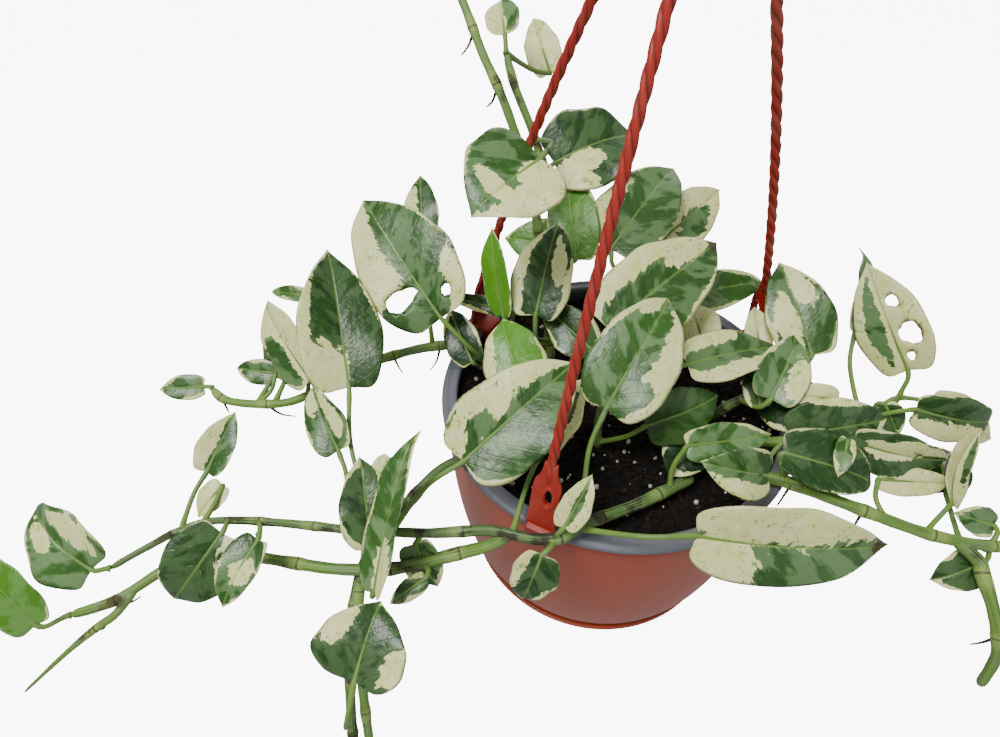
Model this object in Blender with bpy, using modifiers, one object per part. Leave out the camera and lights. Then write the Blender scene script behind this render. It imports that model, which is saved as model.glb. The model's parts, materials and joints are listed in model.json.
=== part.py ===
"""Hanging pot of variegated pothos: hook, three clip-on hangers, two-colour pot, saucer, soil, vines, leaves.

Lengths in the tables are millimetres from the middle of the pot's rim. The finished part has its origin where
the hook bears on its support, so everything is lowered by RIM_DROP. +Z is up, and the vines spill over -Y.
"""
import math

import bmesh
import bpy
from mathutils import Matrix, Vector

for old in list(bpy.data.objects):
    bpy.data.objects.remove(old, do_unlink=True)

MM = 0.001
RIM_DROP = 330.0            # hook's bearing point down to the rim's top
TURNS = 36                  # facets round the pot

# Pot
LIP_RADIUS = 100.0
LIP_INNER_RADIUS = 91.0
LIP_DEPTH = 4.0
POT_DEPTH = 138.0
BASE_RADIUS = 68.0
SIDE_INSET = 2.5            # how far the bowl's side starts inside the lip
LIP_CHAMFER = 0.9
SHELL = 1.8                 # wall thickness of both shells
GAP = 0.4                   # clearance between neighbouring pieces
BOWL_POWER = 2.3            # how square the bowl's shoulder is
SAUCER_DEPTH = 10.0         # how far the saucer comes up the bowl
SAUCER_FLANGE = 3.4         # width of the saucer's rim
SAUCER_FLANGE_THICK = 2.0
BOWL_STEPS = 7              # bands down the bowl's side
SOIL_DROP = 9.0             # soil surface below the rim at its edge
SOIL_MOUND = 3.0            # how much higher its middle is

# Hook and hangers
HOOK_RADIUS = 17.0          # centreline of the hook's bend
HOOK_WIRE = 3.0
HUB_RADIUS = 11.0
HUB_TOP = -44.0
HUB_BOTTOM = -55.0
STRAND_RADIUS = 2.5
STRAND_BOW = 9.6            # how far a strand stands out of straight
STRAND_FOOT_RADIUS = 104.0
STRAND_RISE = 282.7
STRAND_STEPS = 12
CLIP_WIDTH = 13.0
CLIP_THICK = 2.6
CLIP_HEIGHT = 42.0
CLIP_OUT_LEG = 7.0
CLIP_IN_LEG = 7.5
EYE = (2.6, 6.0)            # half width and half height of the clip's eye
EYE_SHIFT = 1.4             # eye's offset to one side
EYE_LEVEL = 0.58            # eye's height as a share of the clip's
HANGER_ANGLES = {"hanger_front": -103.0, "hanger_right": 41.0, "hanger_left": 159.0}

# Leaves
PETIOLE_RADIUS = 1.3
BLADE_THICK = 0.8
PETIOLE_RINGS = 5
LIGHT = Vector((-0.05, -0.66, 0.75))    # leaves turn their upper face this way
STATIONS = ((0.05, 0.50), (0.15, 0.86), (0.30, 1.0), (0.46, 0.92), (0.63, 0.70), (0.79, 0.42), (0.92, 0.17))

TERRACOTTA = (0.38, 0.11, 0.065)
GREY = (0.20, 0.205, 0.215)
SOIL = (0.012, 0.009, 0.007)
ORANGE_RED = (0.45, 0.052, 0.03)
STEM = (0.12, 0.22, 0.05)
OLD_STEM = (0.13, 0.17, 0.09)
LEAF = {"green": (0.06, 0.15, 0.045), "cream": (0.60, 0.60, 0.36), "mixed": (0.20, 0.30, 0.14)}

# Vines: radius at the start, radius at the end, colour, and the way each one runs.
VINES = {
    "vine_front_old": (3.1, 1.6, OLD_STEM, (
        (46, -48, -1), (23, -70, 0), (6, -84, 2), (-3, -94, 7), (-12, -104, 8), (-26, -108, 8),
        (-45, -109, 8), (-71, -117, 7), (-110, -124, 4), (-145, -128, 1), (-183, -135, -4),
        (-204, -152, -8), (-216, -166, -10))),
    "vine_front_lower": (3.0, 2.4, STEM, (
        (-44, -113, 1), (-66, -125, -1), (-86, -134, -4), (-115, -140, -7), (-150, -142, -11),
        (-180, -146, -17), (-198, -156, -21), (-213, -174, -25), (-232, -186, -28))),
    "vine_upper_left": (2.9, 2.2, STEM, (
        (-56, -9, -2), (-72, -4, 4), (-98, 3, 8), (-130, -12, 6), (-151, -30, 4), (-175, -58, 2),
        (-209, -66, 1), (-221, -62, 4))),
    "vine_drop_left": (2.9, 2.4, OLD_STEM, (
        (-44, -50, -1), (-60, -65, 4), (-76, -80, 7), (-87, -98, 2), (-95, -114, -7), (-102, -130, -14),
        (-101, -151, -27), (-99, -172, -60), (-96, -188, -92), (-95, -196, -122))),
    "vine_back_rising": (2.7, 2.2, STEM, (
        (-40, 10, -3), (-50, 28, 40), (-64, 48, 90), (-76, 54, 120), (-86, 60, 138), (-96, 68, 150),
        (-106, 79, 162), (-114, 87, 172))),
    "vine_back_second": (2.3, 2.0, STEM, (
        (-58, 54, 96), (-67, 60, 116), (-79, 67, 136), (-86, 74, 150))),
    "vine_right": (3.1, 2.6, STEM, (
        (70, -38, -2), (88, -43, 6), (106, -47, 7), (131, -49, 3), (159, -50, -2), (186, -47, -5),
        (208, -40, -8))),
    "vine_right_drop": (3.2, 2.4, STEM, (
        (183, -54, -9), (187, -64, -14), (195, -73, -26), (203, -81, -44), (207, -86, -70))),
    "vine_right_upper": (2.7, 2.3, STEM, (
        (66, -22, -2), (80, -20, 5), (100, -16, 9), (122, 0, 8), (140, 17, 8), (150, 26, 11))),
    "stem_crown_centre": (2.5, 2.0, OLD_STEM, (
        (-4, -40, -3), (-6, -32, 10), (-4, -20, 21), (2, 0, 27), (8, 22, 30), (10, 44, 33), (4, 62, 38))),
    "stem_crown_right": (2.4, 2.0, OLD_STEM, (
        (52, -6, -3), (60, -4, 10), (72, 2, 17), (86, 8, 20))),
    "shoot_far_left": (2.2, 0.7, STEM, (
        (-211, -180, -27), (-222, -192, -33), (-232, -204, -40), (-242, -219, -47))),
}

# Leaves: vine, petiole before the blade, shift along the vine, blade base, tip, width, roll, fold, droop, tone.
LEAVES = {
    "crown_heart": ("vine_back_second", 16, 0, (-53, 12, 131), (-76, -24, 120), 50, 0, 8, 0.05, "mixed"),
    "crown_dark": ("vine_back_rising", 14, -10, (-60, 86, 87), (-17, 122, 92), 51, 0, 10, 0.14, "green"),
    "back_scorched": ("stem_crown_centre", 16, 0, (-18, 50, 60), (8, 113, 82), 45, 0, 8, 0.05, "green"),
    "back_cream": ("stem_crown_centre", 14, 0, (10, 80, 52), (38, 126, 62), 32, 15, 8, 0.05, "cream"),
    "centre_torn_tip": ("stem_crown_centre", 20, -8, (-10, -8, 54), (38, 54, 74), 46, 0, 12, 0.05, "mixed"),
    "centre_upright": ("vine_back_rising", 20, -8, (-49, -2, 48), (-48, 44, 78), 33, 0, 14, 0.05, "mixed"),
    "centre_edge_on": ("vine_back_rising", 14, -14, (-66, -4, 46), (-79, 20, 84), 20, -35, 10, 0.03, "green"),
    "inner_bright": ("vine_drop_left", 16, 4, (-46, -40, 30), (-66, -8, 48), 34, 0, 8, 0.08, "green"),
    "front_large": ("vine_front_old", 44, 0, (-62, -91, 32), (-20, -37, 58), 46, 0, 12, 0.05, "mixed"),
    "front_twisted": ("vine_front_old", 20, 0, (-29, -65, 19), (-17, -24, 33), 25, -20, 14, 0.05, "cream"),
    "centre_large": ("vine_front_old", 30, 0, (-3, -51, 42), (18, 6, 72), 43, 0, 8, 0.09, "mixed"),
    "centre_glossy": ("stem_crown_centre", 16, -8, (18, -38, 20), (52, -14, 28), 30, 16, 6, 0.08, "green"),
    "centre_pointed": ("stem_crown_centre", 24, 4, (32, -13, 44), (80, 18, 39), 30, -25, 10, 0.06, "mixed"),
    "right_folded": ("stem_crown_right", 14, 0, (76, -14, 32), (84, 18, 50), 28, 10, 18, 0.04, "mixed"),
    "right_tall": ("stem_crown_right", 16, -4, (96, 19, 36), (72, 62, 62), 35, 0, 6, 0.05, "mixed"),
    "right_speckled": ("vine_right", 18, 0, (74, -62, 32), (42, -70, 42), 24, 0, 16, 0.12, "mixed"),
    "right_dark": ("vine_right", 14, 8, (84, -40, 24), (134, -34, 7), 30, -20, 14, 0.08, "green"),
    "right_largest": ("vine_front_old", 36, 0, (46, -96, 24), (129, -76, 20), 42, 24, 12, 0.06, "cream"),
    "right_long": ("vine_right", 16, 6, (118, -22, 22), (168, -12, 12), 26, 30, 16, 0.10, "mixed"),
    "lip_upper": ("vine_front_old", 5, 0, (-11, -103, 16), (-3, -84, 35), 15, 10, 20, 0.04, "cream"),
    "lip_lower": ("vine_front_old", 5, -3, (-18, -115, 9), (-24, -126, -19), 22, -10, 12, 0.08, "mixed"),
    "left_largest": ("vine_upper_left", 40, 0, (-98, -14, 45), (-157, 30, 84), 54, 0, 12, 0.05, "mixed"),
    "left_dark": ("vine_drop_left", 70, 0, (-135, -58, 26), (-166, 0, 68), 44, 30, 14, 0.05, "green"),
    "left_cream": ("vine_upper_left", 14, 0, (-162, -52, 18), (-204, -18, 38), 30, -15, 10, 0.05, "cream"),
    "left_far": ("vine_upper_left", 30, 0, (-122, 28, 62), (-134, 62, 82), 20, 15, 10, 0.05, "green"),
    "left_hanging": ("vine_front_old", 24, 0, (-130, -88, 12), (-155, -62, 28), 23, 0, 14, 0.05, "mixed"),
    "left_narrow": ("vine_front_old", 22, 0, (-194, -112, 2), (-188, -84, 20), 19, 15, 20, 0.03, "mixed"),
    "left_twin": ("vine_front_old", 12, 14, (-143, -144, 14), (-150, -172, -2), 19, 0, 16, 0.10, "mixed"),
    "left_round": ("vine_front_old", 10, 12, (-164, -143, 8), (-184, -170, -20), 35, -20, 6, 0.12, "green"),
    "far_left_end": ("vine_front_old", 5, 0, (-222, -170, -7), (-262, -152, 6), 36, 0, 14, 0.12, "green"),
    "far_left_long": ("vine_front_lower", 8, 0, (-240, -196, -22), (-272, -178, 8), 24, 20, 16, 0.08, "green"),
    "drop_rounded": ("vine_drop_left", 18, 0, (-92, -134, 14), (-108, -102, 36), 26, 20, 10, 0.05, "mixed"),
    "drop_narrow": ("vine_front_lower", 14, 0, (-84, -152, 10), (-82, -94, 56), 24, -35, 16, 0.03, "mixed"),
    "drop_broad": ("vine_drop_left", 60, 0, (-82, -184, -6), (-80, -154, 10), 42, 0, 8, 0.08, "mixed"),
    "top_young": ("vine_back_second", 4, 0, (-88, 79, 157), (-95, 96, 168), 18, 0, 24, 0.04, "cream"),
    "far_right_narrow": ("vine_right_upper", 50, 0, (124, 56, 26), (123, 101, 54), 20, 40, 18, 0.04, "mixed"),
    "far_right_cream": ("vine_right_upper", 10, 0, (150, 34, 24), (118, 72, 62), 36, -35, 10, 0.05, "cream"),
    "far_right_arched": ("vine_right_upper", 8, -6, (152, 10, 20), (196, 22, 12), 26, 25, 10, 0.16, "green"),
    "far_right_curved": ("vine_right", 12, -8, (170, -32, 2), (184, 8, 18), 18, 30, 16, -0.10, "cream"),
    "far_right_upright": ("vine_right", 10, 6, (196, -34, 8), (190, -2, 34), 22, 20, 10, 0.05, "green"),
}

part = bpy.data.collections.new("hanging_pothos")
cutters = bpy.data.collections.new("cutters")
bpy.context.scene.collection.children.link(part)
bpy.context.scene.collection.children.link(cutters)


def place(point):
    """A table point in the part's frame, in metres."""
    return Vector((point[0], point[1], point[2] - RIM_DROP)) * MM


def finish(obj, colour, roughness):
    """Gives a piece its own material and puts it in the part."""
    mat = bpy.data.materials.new(obj.name)
    mat.use_nodes = True
    shader = mat.node_tree.nodes["Principled BSDF"]
    shader.inputs["Base Color"].default_value = (*colour, 1.0)
    shader.inputs["Roughness"].default_value = roughness
    shader.inputs["Metallic"].default_value = 0.0
    obj.data.materials.append(mat)
    part.objects.link(obj)
    return obj


def as_cutter(obj):
    """Keeps a shape that only takes part in a boolean out of sight."""
    cutters.objects.link(obj)
    obj.hide_render = True
    obj.display_type = "WIRE"
    return obj


def combine(obj, other, operation):
    """Joins or cuts with an exact boolean."""
    mod = obj.modifiers.new(other.name, "BOOLEAN")
    mod.operation = operation
    mod.object = other
    mod.solver = "EXACT"


def lathe(name, profile, colour, roughness):
    """Turns a profile of (radius, height), outer side from top to bottom, about the pot's axis."""
    mesh = bpy.data.meshes.new(name)
    points = [(r * MM, 0.0, z * MM) for r, z in profile]
    edges = [(i, i + 1) for i in range(len(points) - 1)]
    if profile[0][0] > 0.0:
        edges.append((len(points) - 1, 0))
    mesh.from_pydata(points, edges, [])
    obj = bpy.data.objects.new(name, mesh)
    screw = obj.modifiers.new("turn", "SCREW")
    screw.steps = TURNS
    screw.render_steps = TURNS
    screw.use_merge_vertices = True
    screw.merge_threshold = 0.00005
    return finish(obj, colour, roughness)


def bowl(radius, base, depth, top, steps):
    """Points down a bowl's side, from near upright at the top to its base."""
    points = []
    for i in range(steps + 1):
        fall = 1.0 - (1.0 - i / steps) ** 1.5
        side = max(0.0, 1.0 - fall ** BOWL_POWER) ** (1.0 / BOWL_POWER)
        points.append((base + (radius - base) * side, top - (depth + top) * fall))
    return points


def tube(name, points, radii, bend=2):
    """A round bar along points, as a mesh with closed ends."""
    curve = bpy.data.curves.new(name, "CURVE")
    curve.dimensions = "3D"
    curve.bevel_depth = 1.0 * MM
    curve.bevel_resolution = bend
    curve.use_fill_caps = True
    spline = curve.splines.new("POLY")
    spline.points.add(len(points) - 1)
    for knot, point, radius in zip(spline.points, points, radii):
        knot.co = (*point, 1.0)
        knot.radius = radius
    source = bpy.data.objects.new(name + "_path", curve)
    bpy.context.scene.collection.objects.link(source)
    bpy.context.view_layer.update()
    mesh = bpy.data.meshes.new_from_object(source.evaluated_get(bpy.context.evaluated_depsgraph_get()))
    bpy.data.objects.remove(source, do_unlink=True)
    shape = bmesh.new()
    shape.from_mesh(mesh)
    bmesh.ops.remove_doubles(shape, verts=shape.verts, dist=0.00001)
    bmesh.ops.recalc_face_normals(shape, faces=shape.faces)
    shape.to_mesh(mesh)
    shape.free()
    return bpy.data.objects.new(name, mesh)


def plate(name, outline, thickness):
    """A flat outline given a thickness, centred on its plane."""
    mesh = bpy.data.meshes.new(name)
    mesh.from_pydata(outline, [], [list(range(len(outline)))])
    obj = bpy.data.objects.new(name, mesh)
    solid = obj.modifiers.new("thickness", "SOLIDIFY")
    solid.thickness = thickness
    solid.offset = 0.0
    return obj


def smooth_route(points, parts):
    """A Catmull-Rom route through points, with a number of parts between each pair."""
    knots = [Vector(p) for p in points]
    padded = [2 * knots[0] - knots[1]] + knots + [2 * knots[-1] - knots[-2]]
    route = []
    for a, b, c, d in zip(padded, padded[1:], padded[2:], padded[3:]):
        for i in range(parts):
            t = i / parts
            route.append(0.5 * (2 * b + (c - a) * t + (2 * a - 5 * b + 4 * c - d) * t * t
                                + (3 * b - a - 3 * c + d) * t ** 3))
    route.append(knots[-1])
    return route


# ---- pot, saucer and soil
side_radius = LIP_RADIUS - SIDE_INSET
outer_depth = POT_DEPTH + SHELL + GAP
outer_side = bowl(side_radius, BASE_RADIUS + 2.0, outer_depth, -LIP_DEPTH - GAP, BOWL_STEPS)
outer_inside = bowl(side_radius - SHELL, BASE_RADIUS + 1.0, POT_DEPTH + GAP, -LIP_DEPTH - GAP, BOWL_STEPS)
lathe("outer_bowl", outer_side + [(0.0, outer_side[-1][1]), (0.0, outer_inside[-1][1])] + outer_inside[::-1],
      TERRACOTTA, 0.5)

inner_radius = side_radius - SHELL - GAP
liner_side = bowl(inner_radius, BASE_RADIUS, POT_DEPTH, -LIP_DEPTH, BOWL_STEPS)
liner_inside = bowl(inner_radius - SHELL, BASE_RADIUS - 1.0, POT_DEPTH - SHELL, -LIP_DEPTH - 3.0, BOWL_STEPS)
lip = [(LIP_INNER_RADIUS + 1.5, 0.0), (LIP_RADIUS - LIP_CHAMFER, 0.0),
       (LIP_RADIUS, -LIP_CHAMFER), (LIP_RADIUS, -LIP_DEPTH)]
lathe("inner_pot", lip + liner_side + [(0.0, liner_side[-1][1]), (0.0, liner_inside[-1][1])]
      + liner_inside[::-1] + [(LIP_INNER_RADIUS, -LIP_DEPTH), (LIP_INNER_RADIUS, -2.0)], GREY, 0.45)

soil_inside = [(r - GAP, z) for r, z in liner_inside if z < -SOIL_DROP - 2.0]
soil_inside[-1] = (soil_inside[-1][0], soil_inside[-1][1] + GAP)
soil_top = [(0.0, -SOIL_DROP + SOIL_MOUND), (40.0, -SOIL_DROP + 0.7 * SOIL_MOUND), (70.0, -SOIL_DROP + 1.0),
            (LIP_INNER_RADIUS - 1.5, -SOIL_DROP)]
lathe("potting_soil", soil_top + soil_inside + [(0.0, soil_inside[-1][1])], SOIL, 0.95)

foot = outer_side[-1][1]
fine_side = bowl(side_radius, BASE_RADIUS + 2.0, outer_depth, -LIP_DEPTH - GAP, 24)
dish = [(r + GAP, z) for r, z in fine_side if z < foot + SAUCER_DEPTH]
dish[-1] = (dish[-1][0], foot - GAP)
flange_radius, flange_top = dish[0][0] + SAUCER_FLANGE, dish[0][1]
saucer_out = [(flange_radius, flange_top), (flange_radius, flange_top - SAUCER_FLANGE_THICK),
              (dish[0][0] + SHELL, flange_top - SAUCER_FLANGE_THICK - 0.6)]
saucer_out += [(r + SHELL, z - SHELL) for r, z in dish[1:-1]] + [(dish[-1][0] - 4.0, foot - GAP - SHELL)]
lathe("drip_saucer", saucer_out + [(0.0, foot - GAP - SHELL), (0.0, foot - GAP)] + dish[::-1], TERRACOTTA, 0.5)
for piece in part.objects:
    piece.location.z = -RIM_DROP * MM

# ---- hook
bend = []
for degrees in range(-45, 226, 18):
    a = math.radians(degrees)
    bend.append((HOOK_RADIUS * math.cos(a), HOOK_RADIUS * (math.sin(a) - 1.0) + HOOK_WIRE))
hook_route = [(0.0, HUB_TOP - 3.0), (0.0, HUB_TOP + 4.0), (4.0, HUB_TOP + 10.0)] + bend
hook = tube("hanger_hook", [Vector((x, 0.0, z)) * MM for x, z in hook_route], [HOOK_WIRE] * len(hook_route))
hub = bmesh.new()
bmesh.ops.create_cone(hub, cap_ends=True, segments=24, radius1=HUB_RADIUS * MM, radius2=(HUB_RADIUS - 2.0) * MM,
                      depth=(HUB_TOP - HUB_BOTTOM) * MM,
                      matrix=Matrix.Translation((0.0, 0.0, (HUB_TOP + HUB_BOTTOM) / 2 * MM)))
hub_mesh = bpy.data.meshes.new("hub")
hub.to_mesh(hub_mesh)
hub.free()
combine(hook, as_cutter(bpy.data.objects.new("hub", hub_mesh)), "UNION")
finish(hook, ORANGE_RED, 0.4)

# ---- hangers: saddle over the lip, flat clip with an eye, round strand up to the hub
half = CLIP_WIDTH / 2
clip_outline = [(-half - 0.5, 1.0), (half + 0.5, 1.0), (half, 12.0), (half - 0.4, CLIP_HEIGHT - 8.0),
                (half - 1.6, CLIP_HEIGHT - 4.5), (3.0, CLIP_HEIGHT - 1.5), (2.6, CLIP_HEIGHT + 3.0),
                (-2.6, CLIP_HEIGHT + 3.0), (-3.0, CLIP_HEIGHT - 1.5), (-half + 1.6, CLIP_HEIGHT - 4.5),
                (-half + 0.4, CLIP_HEIGHT - 8.0), (-half, 12.0)]
out_face = LIP_RADIUS + GAP
in_face = LIP_INNER_RADIUS - GAP - 0.4
saddle_outline = [(in_face - CLIP_THICK, -CLIP_IN_LEG), (in_face, -CLIP_IN_LEG), (in_face, GAP), (out_face, GAP),
                  (out_face, -CLIP_OUT_LEG), (out_face + CLIP_THICK, -CLIP_OUT_LEG),
                  (out_face + CLIP_THICK, CLIP_THICK), (in_face - CLIP_THICK, CLIP_THICK)]


def strand_point(t):
    """Distance from the axis and height of a strand's middle, from foot (0) to hub (1)."""
    return STRAND_FOOT_RADIUS * (1 - t) + STRAND_BOW * 4 * t * (1 - t), STRAND_RISE * t


clip_top = strand_point(CLIP_HEIGHT / STRAND_RISE)
clip_lean = math.atan2(clip_top[0] - LIP_RADIUS, CLIP_HEIGHT)
for hanger_name, angle in HANGER_ANGLES.items():
    turn = Matrix.Rotation(math.radians(angle), 4, "Z")
    down = Matrix.Translation((0.0, 0.0, -RIM_DROP * MM))
    hanger = plate(hanger_name, [(0.0, y * MM, z * MM) for y, z in clip_outline], CLIP_THICK * MM)
    lean = Matrix.Translation((LIP_RADIUS * MM, 0, 0)) @ Matrix.Rotation(clip_lean, 4, "Y")
    hanger.matrix_world = down @ turn @ lean

    saddle = plate(hanger_name + "_saddle", [(r * MM, 0.0, z * MM) for r, z in saddle_outline], CLIP_WIDTH * MM)
    saddle.matrix_world = down @ turn
    combine(hanger, as_cutter(saddle), "UNION")

    first = (CLIP_HEIGHT - 2.0) / STRAND_RISE
    last = (HUB_BOTTOM + RIM_DROP - GAP - 1.2) / STRAND_RISE
    route = []
    for i in range(STRAND_STEPS + 1):
        r, z = strand_point(first + (last - first) * i / STRAND_STEPS)
        route.append(down @ turn @ (Vector((r, 0.0, z)) * MM))
    strand = tube(hanger_name + "_strand", route, [STRAND_RADIUS] * len(route))
    combine(hanger, as_cutter(strand), "UNION")

    eye = bmesh.new()
    bmesh.ops.create_cone(eye, cap_ends=True, segments=14, radius1=MM, radius2=MM, depth=4 * CLIP_THICK * MM)
    bmesh.ops.transform(eye, verts=eye.verts, matrix=Matrix.Diagonal((EYE[1], EYE[0], 1.0, 1.0)))
    eye_mesh = bpy.data.meshes.new(hanger_name + "_eye")
    eye.to_mesh(eye_mesh)
    eye.free()
    eye_cutter = bpy.data.objects.new(hanger_name + "_eye", eye_mesh)
    eye_centre = Matrix.Translation((0, EYE_SHIFT * MM, EYE_LEVEL * CLIP_HEIGHT * MM))
    eye_cutter.matrix_world = (hanger.matrix_world @ eye_centre
                               @ Matrix.Rotation(math.pi / 2, 4, "Y"))
    combine(hanger, as_cutter(eye_cutter), "DIFFERENCE")
    finish(hanger, ORANGE_RED, 0.4)

# ---- vines
routes = {}
for vine_name, (thick, thin, colour, points) in VINES.items():
    route = smooth_route([place(p) for p in points], 2)
    last = len(route) - 1
    radii = [thick + (thin - thick) * i / last for i in range(last + 1)]
    routes[vine_name] = (route, radii)
    finish(tube(vine_name, route, radii), colour, 0.55)


def closest_on(route, point):
    """Index, point and direction of a route's nearest place to a point."""
    best = None
    for i, (a, b) in enumerate(zip(route, route[1:])):
        t = min(1.0, max(0.0, (point - a).dot(b - a) / (b - a).length_squared))
        near = a.lerp(b, t)
        if best is None or (near - point).length < best[0]:
            best = ((near - point).length, i, near, (b - a).normalized(), t)
    return best[1:]


def leaf(name, vine, petiole, shift, base, tip, width, roll, fold, droop, tone):
    """One leaf: a petiole leaving its vine, then a pointed blade folded along its midrib, in one closed body."""
    base, tip = place(base), place(tip)
    axis = (tip - base).normalized()
    length = (tip - base).length
    face = (LIGHT - axis * LIGHT.dot(axis)).normalized()
    face = Matrix.Rotation(math.radians(roll), 3, axis) @ face
    side = axis.cross(face).normalized()

    route, radii = routes[vine]
    _, near, _, _ = closest_on(route, base - axis * petiole * MM)
    _, _, along, _ = closest_on(route, near)
    index, near, along, _ = closest_on(route, near + along * shift * MM)
    out = base - near
    out = (out - along * out.dot(along)).normalized()
    ends = (route[0], route[-1])
    if min((near - e).length for e in ends) < 0.0001:
        out = (base - near).normalized()
        clear = GAP + (radii[index] + PETIOLE_RADIUS) * math.sqrt(max(0.0, 1.0 - out.dot(along) ** 2))
    else:
        clear = radii[index] + GAP
    start = near + out * clear * MM
    span = (base - start).length
    bends = (start, start + out * 0.35 * span, base - axis * 0.38 * span, base)

    rings = []
    for i in range(PETIOLE_RINGS):
        t = i / PETIOLE_RINGS
        s = 1 - t
        centre = (bends[0] * s ** 3 + bends[1] * 3 * s * s * t + bends[2] * 3 * s * t * t + bends[3] * t ** 3)
        run = ((bends[1] - bends[0]) * s * s + (bends[2] - bends[1]) * 2 * s * t + (bends[3] - bends[2]) * t * t)
        run.normalize()
        across = (side - run * side.dot(run)).normalized()
        up = across.cross(run)
        ring = []
        for k in range(6):
            a = math.radians(180 - 60 * k)
            ring.append(centre + (across * math.cos(a) + up * math.sin(a)) * PETIOLE_RADIUS * MM)
        rings.append(ring)
    tilt = math.tan(math.radians(fold))
    for t, share in STATIONS:
        centre = base + axis * t * length + face * droop * length * 4 * t * (1 - t)
        run = (axis + face * droop * 4 * (1 - 2 * t)).normalized()
        up = side.cross(run).normalized()
        reach = width / 2 * share * MM
        thick = BLADE_THICK * (1.3 - 0.6 * t) / 2 * MM
        ring = []
        for lateral, height in ((-1, 0), (-0.34, 1), (0.34, 1), (1, 0), (0.34, -1), (-0.34, -1)):
            lift = abs(lateral) * reach * tilt
            ring.append(centre + side * lateral * reach + up * (lift + height * thick))
        rings.append(ring)

    verts = [v for ring in rings for v in ring] + [tip]
    faces = [list(range(6))[::-1]]
    for r in range(len(rings) - 1):
        for k in range(6):
            a, b = r * 6 + k, r * 6 + (k + 1) % 6
            faces += [(a, b, b + 6), (a, b + 6, a + 6)]
    top = (len(rings) - 1) * 6
    faces += [(top + k, top + (k + 1) % 6, len(verts) - 1) for k in range(6)]
    mesh = bpy.data.meshes.new(name)
    mesh.from_pydata(verts, [], faces)
    shape = bmesh.new()
    shape.from_mesh(mesh)
    bmesh.ops.recalc_face_normals(shape, faces=shape.faces)
    shape.to_mesh(mesh)
    shape.free()
    finish(bpy.data.objects.new(name, mesh), LEAF[tone], 0.4)


for leaf_name, row in LEAVES.items():
    leaf("leaf_" + leaf_name, *row)
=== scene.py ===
"""Looks of the hanging pot of variegated pothos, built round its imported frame.

Lengths in tables are millimetres from the middle of the pot's rim; at() puts them in the frame.
"""

import json
import logging
import math
from dataclasses import dataclass
from enum import Enum
from typing import Any, Iterable, Sequence

import bmesh
import bpy
import numpy as np
from mathutils import Matrix, Vector, noise

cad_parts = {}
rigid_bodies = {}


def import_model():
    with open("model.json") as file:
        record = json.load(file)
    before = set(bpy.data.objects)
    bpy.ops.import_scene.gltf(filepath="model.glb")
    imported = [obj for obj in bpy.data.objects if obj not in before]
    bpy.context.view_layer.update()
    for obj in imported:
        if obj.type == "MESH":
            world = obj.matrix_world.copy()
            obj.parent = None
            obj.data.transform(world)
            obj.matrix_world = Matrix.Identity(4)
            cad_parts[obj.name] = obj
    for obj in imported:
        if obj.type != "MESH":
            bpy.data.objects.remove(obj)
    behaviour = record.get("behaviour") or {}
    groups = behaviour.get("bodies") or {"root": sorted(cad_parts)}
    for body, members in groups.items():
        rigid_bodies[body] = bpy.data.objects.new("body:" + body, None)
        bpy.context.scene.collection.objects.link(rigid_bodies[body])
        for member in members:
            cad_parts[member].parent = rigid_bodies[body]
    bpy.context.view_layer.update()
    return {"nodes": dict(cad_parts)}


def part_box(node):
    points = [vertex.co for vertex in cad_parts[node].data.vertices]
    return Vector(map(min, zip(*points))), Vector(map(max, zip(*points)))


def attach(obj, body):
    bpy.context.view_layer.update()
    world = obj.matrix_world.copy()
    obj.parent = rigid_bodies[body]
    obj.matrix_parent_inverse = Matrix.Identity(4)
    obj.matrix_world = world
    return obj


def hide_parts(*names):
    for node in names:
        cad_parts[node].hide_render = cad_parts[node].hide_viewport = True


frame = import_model()

MM = 0.001
BODY = "root"
RIM = Vector((0.0, 0.0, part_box("inner_pot")[1].z))
LOG = logging.getLogger("pothos")
Colour = tuple[float, float, float]
Points = np.ndarray

VEIN_SPACING = 7.2
VEIN_SLANT = 0.72
# Crest value given to the clips and the hub, so that the hangers' painted groove shade hardly darkens them.
UNSHADED_CREST = 0.8


def at(x: float, y: float, z: float) -> Vector:
    """A place given in millimetres from the middle of the rim, in the frame's metres."""
    return Vector((x, y, z)) * MM + RIM


def srgb(red: int, green: int, blue: int) -> Colour:
    """A screen colour as the linear colour that shaders take.

    Args:
        red: the red part, 0 to 255.
        green: the green part, 0 to 255.
        blue: the blue part, 0 to 255.

    Returns:
        The linear colour.
    """
    shares = [part / 255.0 for part in (red, green, blue)]
    return tuple(share / 12.92 if share <= 0.04045 else ((share + 0.055) / 1.055) ** 2.4 for share in shares)


# ---------------------------------------------------------------- nodes and expressions

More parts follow.
